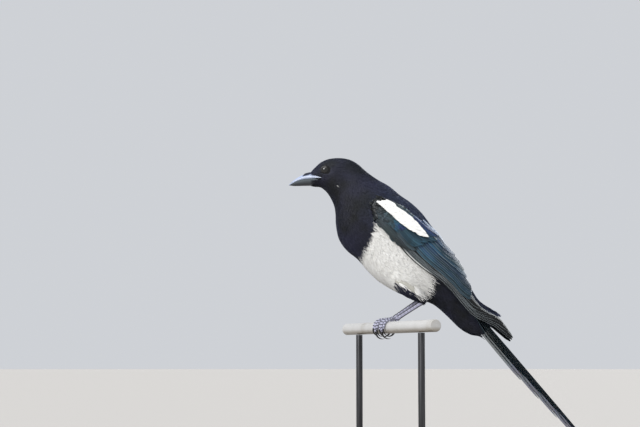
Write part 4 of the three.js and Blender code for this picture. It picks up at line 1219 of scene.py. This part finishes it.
def foot(side, name):
    """The toes with their scutes and pads, and the pad round the joint."""
    skins, marks = [], []
    under = np.clip(-np.sin(turns(TOE_ROUND)), 0, 1)[None, :]
    for toe in TOES:
        points, _ = toe_line(side, name, toe)
        run = lengths(points)
        share = run / run[-1]
        radii = toe.radius * (1 - TOE_TAPER * share)
        radii *= np.sqrt(np.clip(1 - ((share - 0.93) / 0.09).clip(0) ** 2, 0.05, 1))
        swell, line = scutes(run, TOE_ROUND, SCUTE, 0.22)
        swell *= 1 + 0.1 * np.cos(run / PAD_PITCH * 2 * math.pi)[:, None] * under
        fixed = ALONG_PERCH * np.sign(toe.end)
        skins.append(tube(points, radii[:, None] * swell, fixed, TOE_ROUND))
        marks.append(line)
    x = np.sin(np.linspace(-1, 1, 15) * 1.5)[:, None]
    angle, reach = turns(20), np.sqrt(1 - x**2)
    ball = np.stack([x + 0 * angle, reach * np.cos(angle), reach * np.sin(angle)], -1)
    skins.append(foot_joint(side, name) + PAD * ball)
    marks.append(0.25 + 0.25 * np.cos(5 * angle) + 0 * ball[..., 0])
    finished(lofted("scaly_foot_" + name, skins, marks=marks), SCALES, "leg_scales", "foot_" + name)


def claws(side, name):
    """Curved claws that hook in under the perch."""
    skins = []
    share = np.linspace(0, 1, 22)
    angle = (CLAW_BEND * share)[:, None]
    for toe in TOES:
        points, heading = toe_line(side, name, toe)
        start = points[-1] + heading * (GAP - 0.5)
        inward = unit(np.cross(heading, ALONG_PERCH))
        if np.dot(inward, ACROSS_PERCH) * toe.end > 0:
            inward = -inward
        line = start + toe.claw / CLAW_BEND * (np.sin(angle) * heading + (1 - np.cos(angle)) * inward)
        skins.append(tube(line, lerp(toe.radius * 0.68, 0.14, share**1.2), ALONG_PERCH, 14, 0.8))
    nodes = ["claw_" + name + "_" + toe.name for toe in TOES]
    finished(lofted("claws_" + name, skins), CLAW_HORN, "claw_horn", *nodes)


# The bill: x, culmen, cutting edge, lower edge and half width.
BILL = curve([
    (-66.5, 154, 150.9, 145.6, 11.0), (-72, 156.4, 150.9, 143.9, 9.3), (-78.5, 157, 150.7, 143.2, 6.5),
    (-85, 155.4, 150.2, 143.1, 4.5), (-91, 152.4, 148.8, 143, 3.1), (-96, 149, 146.8, 143, 2),
    (-99.2, 146.1, 145.0, 143.5, 1.1), (-101, 144.3, 143.7, 143.6, 0.35),
])
BILL_SHARES = np.linspace(0, 1, 44)
# The lower half ends at this share of the bill, inside the upper one's hook.
LOWER_END = 0.97
ARCH = np.linspace(0, math.pi, 19)
RIDGE = np.sin(ARCH)


def horn_ring(x, half, base, rise, flat, square, peak):
    """One ring of half of the bill: an arch from its base, closed by a flat."""
    out = np.sign(np.cos(ARCH)) * np.abs(np.cos(ARCH)) ** square
    arch = np.stack([x + 0 * ARCH, half * out, base + rise * RIDGE**peak], -1)
    across = np.linspace(-0.8, 0.8, 5) * half
    return np.concatenate([arch, np.stack([x + 0 * across, across, flat + 0 * across], -1)])


def bill():
    """Both halves of the bill, the upper one arched to a ridge and closing over the lower."""
    upper, lower = [], []
    for share in BILL_SHARES:
        x, top, edge, under, half = BILL(np.array(share))
        upper.append(horn_ring(x, half, edge - 0.25, top - edge + 0.25, edge + 0.12, 0.82, 0.92))
        if share <= LOWER_END:
            drop = -max(edge - 0.15 - under, 0.1)
            lower.append(horn_ring(x, half * 0.9, edge - 0.15, drop, edge - 0.2, 0.8, 0.9))
    # The upper half's ridge carries a painted glare, and painted shade darkens the lower half to its keel.
    for name, rings, material, painted_light in (
        ("upper", upper, UPPER_HORN, 0.3 + 0.6 * RIDGE**1.5), ("lower", lower, LOWER_HORN, 1 - RIDGE**0.9)
    ):
        marks = np.tile(np.concatenate([painted_light, np.zeros(5)]), (len(rings), 1))
        finished(lofted("horn_" + name, [rings], 50, [marks]), material, "bill_horn", "bill_" + name)


def bill_side(side):
    """The upper half's surface, by distance back from x = -100 and angle up its arch."""
    shares = np.linspace(0, 1, 400)
    known = BILL(shares)

    def at(back, angle, height=0.0):
        x = -100 + back
        top, edge, half = (np.interp(-x, -known[:, 0], known[:, k]) for k in (1, 2, 4))
        out, up = (np.clip(wave, 1e-3, 1) for wave in (np.cos(angle), np.sin(angle)))
        y = side * (half + height) * out**0.82
        return np.stack([x + 0 * angle, y, edge + (top - edge + height) * up**0.92], axis=-1)

    return at


BRISTLES = 420


def bristles():
    """Stiff bristles that lie forward over the nostrils, from the forehead and the gape."""
    for side, name in SIDES:
        back = rng.uniform(19.5, 31, BRISTLES)
        angle = rng.uniform(0.78, 1.5, BRISTLES)
        long = rng.uniform(4.5, 7.5, BRISTLES) * np.interp(angle, [0.78, 1.1, 1.45], [1.0, 0.9, 0.5])
        wide = rng.uniform(0.3, 0.6, BRISTLES)
        turn = math.pi + rng.normal(0, 0.1, BRISTLES)
        rise = rng.uniform(0.15, 0.55, BRISTLES)
        surface = bill_side(side)
        rings, spots = laid(surface, back, angle, turn, long, wide, 0.1, rise, 5, barb_outline, 0, 0.25, 0.1)
        values = {"white": 0, "vary": rng.uniform(0, 0.7, BRISTLES), "gloss": 0.3}
        roots = np.stack([0.01 + back / 600, 0.1 + angle / 5], axis=-1)
        finished(shells("bristles_" + name, rings, values, spots, roots), CONTOUR, "feather_black")


# The lids lie this far out along the eye's axis.
LID_OUT = 2.45


def eye(side, name):
    """The eyeball in its socket, with a round rim of lids."""
    centre = np.array(EYE) * (1, side, 1)
    axis = unit(np.array([-math.sin(EYE_TURN), side * math.cos(EYE_TURN), 0.06]))
    bm = bmesh.new()
    bmesh.ops.create_uvsphere(bm, u_segments=56, v_segments=36, radius=EYE_RADIUS)
    rim = bm.verts.layers.float.new("rim")
    for vert in bm.verts:
        facing = float(np.dot(unit(np.array(vert.co)), axis))
        vert[rim] = math.sqrt(max(0, 1 - facing**2)) if facing > 0 else 1.0
        vert.co = shared(centre + np.array(vert.co))
    finished(meshed("eyeball_" + name, bm), EYE_WET, "eye", "eye_" + name)
    first = unit(np.cross(axis, [0, 0, 1]))
    second = np.cross(axis, first)
    small = turns(12)[:, None]
    bm = bmesh.new()
    loops = []
    for turn in turns(64):
        out = first * math.cos(turn) * 1.06 + second * math.sin(turn) * 0.97
        fold = 1 + 0.07 * math.sin(turn * 17)
        middle = centre + axis * (LID_OUT + 0.15 * math.sin(turn * 3)) + out * (LID_RADIUS - 0.1)
        ring = middle + LID_THICK * fold * (np.cos(small) * unit(out) + 0.9 * np.sin(small) * axis)
        made = bmesh.ops.create_circle(bm, segments=12, radius=1)["verts"]
        for vert, place in zip(made, ring):
            vert.co = shared(place)
        loops.append(list({edge for vert in made for edge in vert.link_edges}))
    for here, there in zip(loops, loops[1:] + loops[:1]):
        bmesh.ops.bridge_loops(bm, edges=here + there)
    bmesh.ops.recalc_face_normals(bm, faces=bm.faces)
    finished(meshed("lids_" + name, bm), LIDS, "feather_black")


# The stand and the perch


def turned_rod(name, radius, length, bevel, segments, rotate, place):
    """A round rod with broken edges, made along Z, turned and set in place in millimetres."""
    bm = bmesh.new()
    bmesh.ops.create_cone(bm, cap_ends=True, segments=segments, radius1=radius, radius2=radius, depth=length)
    rims = [edge for edge in bm.edges if abs(edge.verts[0].co.z - edge.verts[1].co.z) < 1e-6]
    bmesh.ops.bevel(
        bm, geom=rims, offset=bevel, offset_type="OFFSET", affect="EDGES", segments=4, profile=0.5,
        material=-1,
    )
    bmesh.ops.rotate(bm, verts=bm.verts, matrix=rotate)
    bmesh.ops.translate(bm, verts=bm.verts, vec=place)
    bmesh.ops.scale(bm, verts=bm.verts, vec=(0.001, 0.001, 0.001))
    return meshed(name, bm, 40)


BASE_RADIUS = 95
BASE_HEIGHT = 12
ROD_RADIUS = 3.5
ROD_SPREAD = 140


def stand():
    """The perch, and the plain round base and two rods that hold it."""
    straight = Matrix.Identity(3)
    flat = Matrix.Rotation(PERCH_TURN, 3, "Z") @ Matrix.Rotation(math.pi / 2, 3, "X")
    grip_place = np.array([BIRD[0] + GRIP_X, 0, BIRD[2] - PERCH_RADIUS])
    middle = Vector(grip_place + ALONG_PERCH * PERCH_SHIFT)
    rail = turned_rod("rail", PERCH_RADIUS, PERCH_LENGTH, 0.8, 96, flat, middle)
    finished(rail, RAIL_PAINT, "rail_paint", "perch")
    base = turned_rod("base", BASE_RADIUS, BASE_HEIGHT, 2, 160, straight, Vector((0, 0, BASE_HEIGHT / 2)))
    finished(base, WOOD, "stand_wood", "stand_base")
    foot_height = BASE_HEIGHT + GAP
    length = BIRD[2] - 2 * PERCH_RADIUS - GAP - foot_height
    for i in (0, 1):
        place = grip_place + ALONG_PERCH * (PERCH_SHIFT + (i - 0.5) * ROD_SPREAD)
        place[2] = foot_height + length / 2
        rod = turned_rod(f"rod_{i + 1}", ROD_RADIUS, length, 0.3, 48, straight, Vector(place))
        finished(rod, STEEL, "stand_steel", f"stand_rod_{i + 1}")


# The studio

# Soft lamps far away, with where each stands, how wide it looks in degrees and its strength.
LAMPS = (
    ("overhead", (-0.15, -0.3, 1), 50, 1.0), ("window", (-0.6, -0.66, 0.52), 22, 2.15),
    ("behind", (0.5, 0.75, 0.45), 40, 1.1),
)
# The camera's place in metres and lens in millimetres. It looks up a little, so that the horizon
# lies below the middle by so many pixels, at a focal length in pixels.
CAMERA_PLACE = (-0.08425, -1.700, 0.11695)
CAMERA_LENS = 91.07
HORIZON_DROP, FOCAL_PIXELS = 149.5, 1619
CAMERA_PITCH = math.atan(HORIZON_DROP / FOCAL_PIXELS)
FLOOR_RADIUS = 30


def placed(name, data, place, turn):
    """A lamp or camera in the scene."""
    holder = bpy.data.objects.new(name, data)
    holder.location = place
    holder.rotation_euler = turn
    bpy.context.scene.collection.objects.link(holder)
    return holder


def studio():
    """Plain pale floor and backdrop, soft lamps and the camera."""
    scene = bpy.context.scene
    bm = bmesh.new()
    bmesh.ops.create_circle(bm, cap_ends=True, segments=64, radius=FLOOR_RADIUS)
    floor = meshed("floor", bm)
    paper = {"Roughness": 0.9, "Specular IOR Level": 0.1, "Base Color": "#b9b6b2"}
    floor.data.materials.append(new_material("matt_paper", paper)[0])
    scene.collection.objects.link(floor)
    scene.world = bpy.data.worlds.new("studio")
    scene.world.use_nodes = True
    backdrop = scene.world.node_tree.nodes["Background"].inputs
    backdrop["Color"].default_value = rgb("#d6d9de")
    backdrop["Strength"].default_value = 0.92
    for name, place, wide, strength in LAMPS:
        lamp = bpy.data.lights.new(name, "SUN")
        lamp.angle = math.radians(wide)
        lamp.energy = strength
        placed(name, lamp, place, Vector(place).to_track_quat("Z", "Y").to_euler())
    camera = bpy.data.cameras.new("camera")
    camera.sensor_width = 36
    camera.lens = CAMERA_LENS
    scene.camera = placed("camera", camera, CAMERA_PLACE, (math.pi / 2 + CAMERA_PITCH, 0, 0))
    scene.view_settings.view_transform = "Standard"


# Stretches of the coat: name, start, end, steps between rows and between roots, where its feathers
# have which lengths and widths, and how many loose tufts of barbs each has.
COAT = (
    ("face", 1.2, 26, 0.9, 0.95, (0, 26), (2.8, 4.2), (1.1, 1.7), 1),
    ("head", 26, 48, 1.3, 1.35, (26, 48), (4.2, 6.5), (1.7, 2.4), 2),
    ("neck", 48, 80, 1.8, 1.8, (48, 80), (6.5, 9.5), (2.4, 3.4), 3),
    ("breast", 80, 122, 2.4, 2.4, (80, 122), (9.5, 12.5), (3.4, 4.6), 4),
    ("belly", 122, 165, 2.7, 2.6, (122, 165), (12.5, 14), (4.6, 5), 5),
    ("vent", 165, BODY_LENGTH - 6, 2.7, 2.6, (165, 225), (14, 20), (5, 6), 4),
)

studio()
skin()
for stretch in COAT:
    body_plumage(*stretch)
for side, name in SIDES:
    for make in (wing_arm, wing_quills, small_coverts, scapulars, thigh_plumage, shank, foot, claws, eye):
        make(side, name)
tail()
bill()
bristles()
stand()
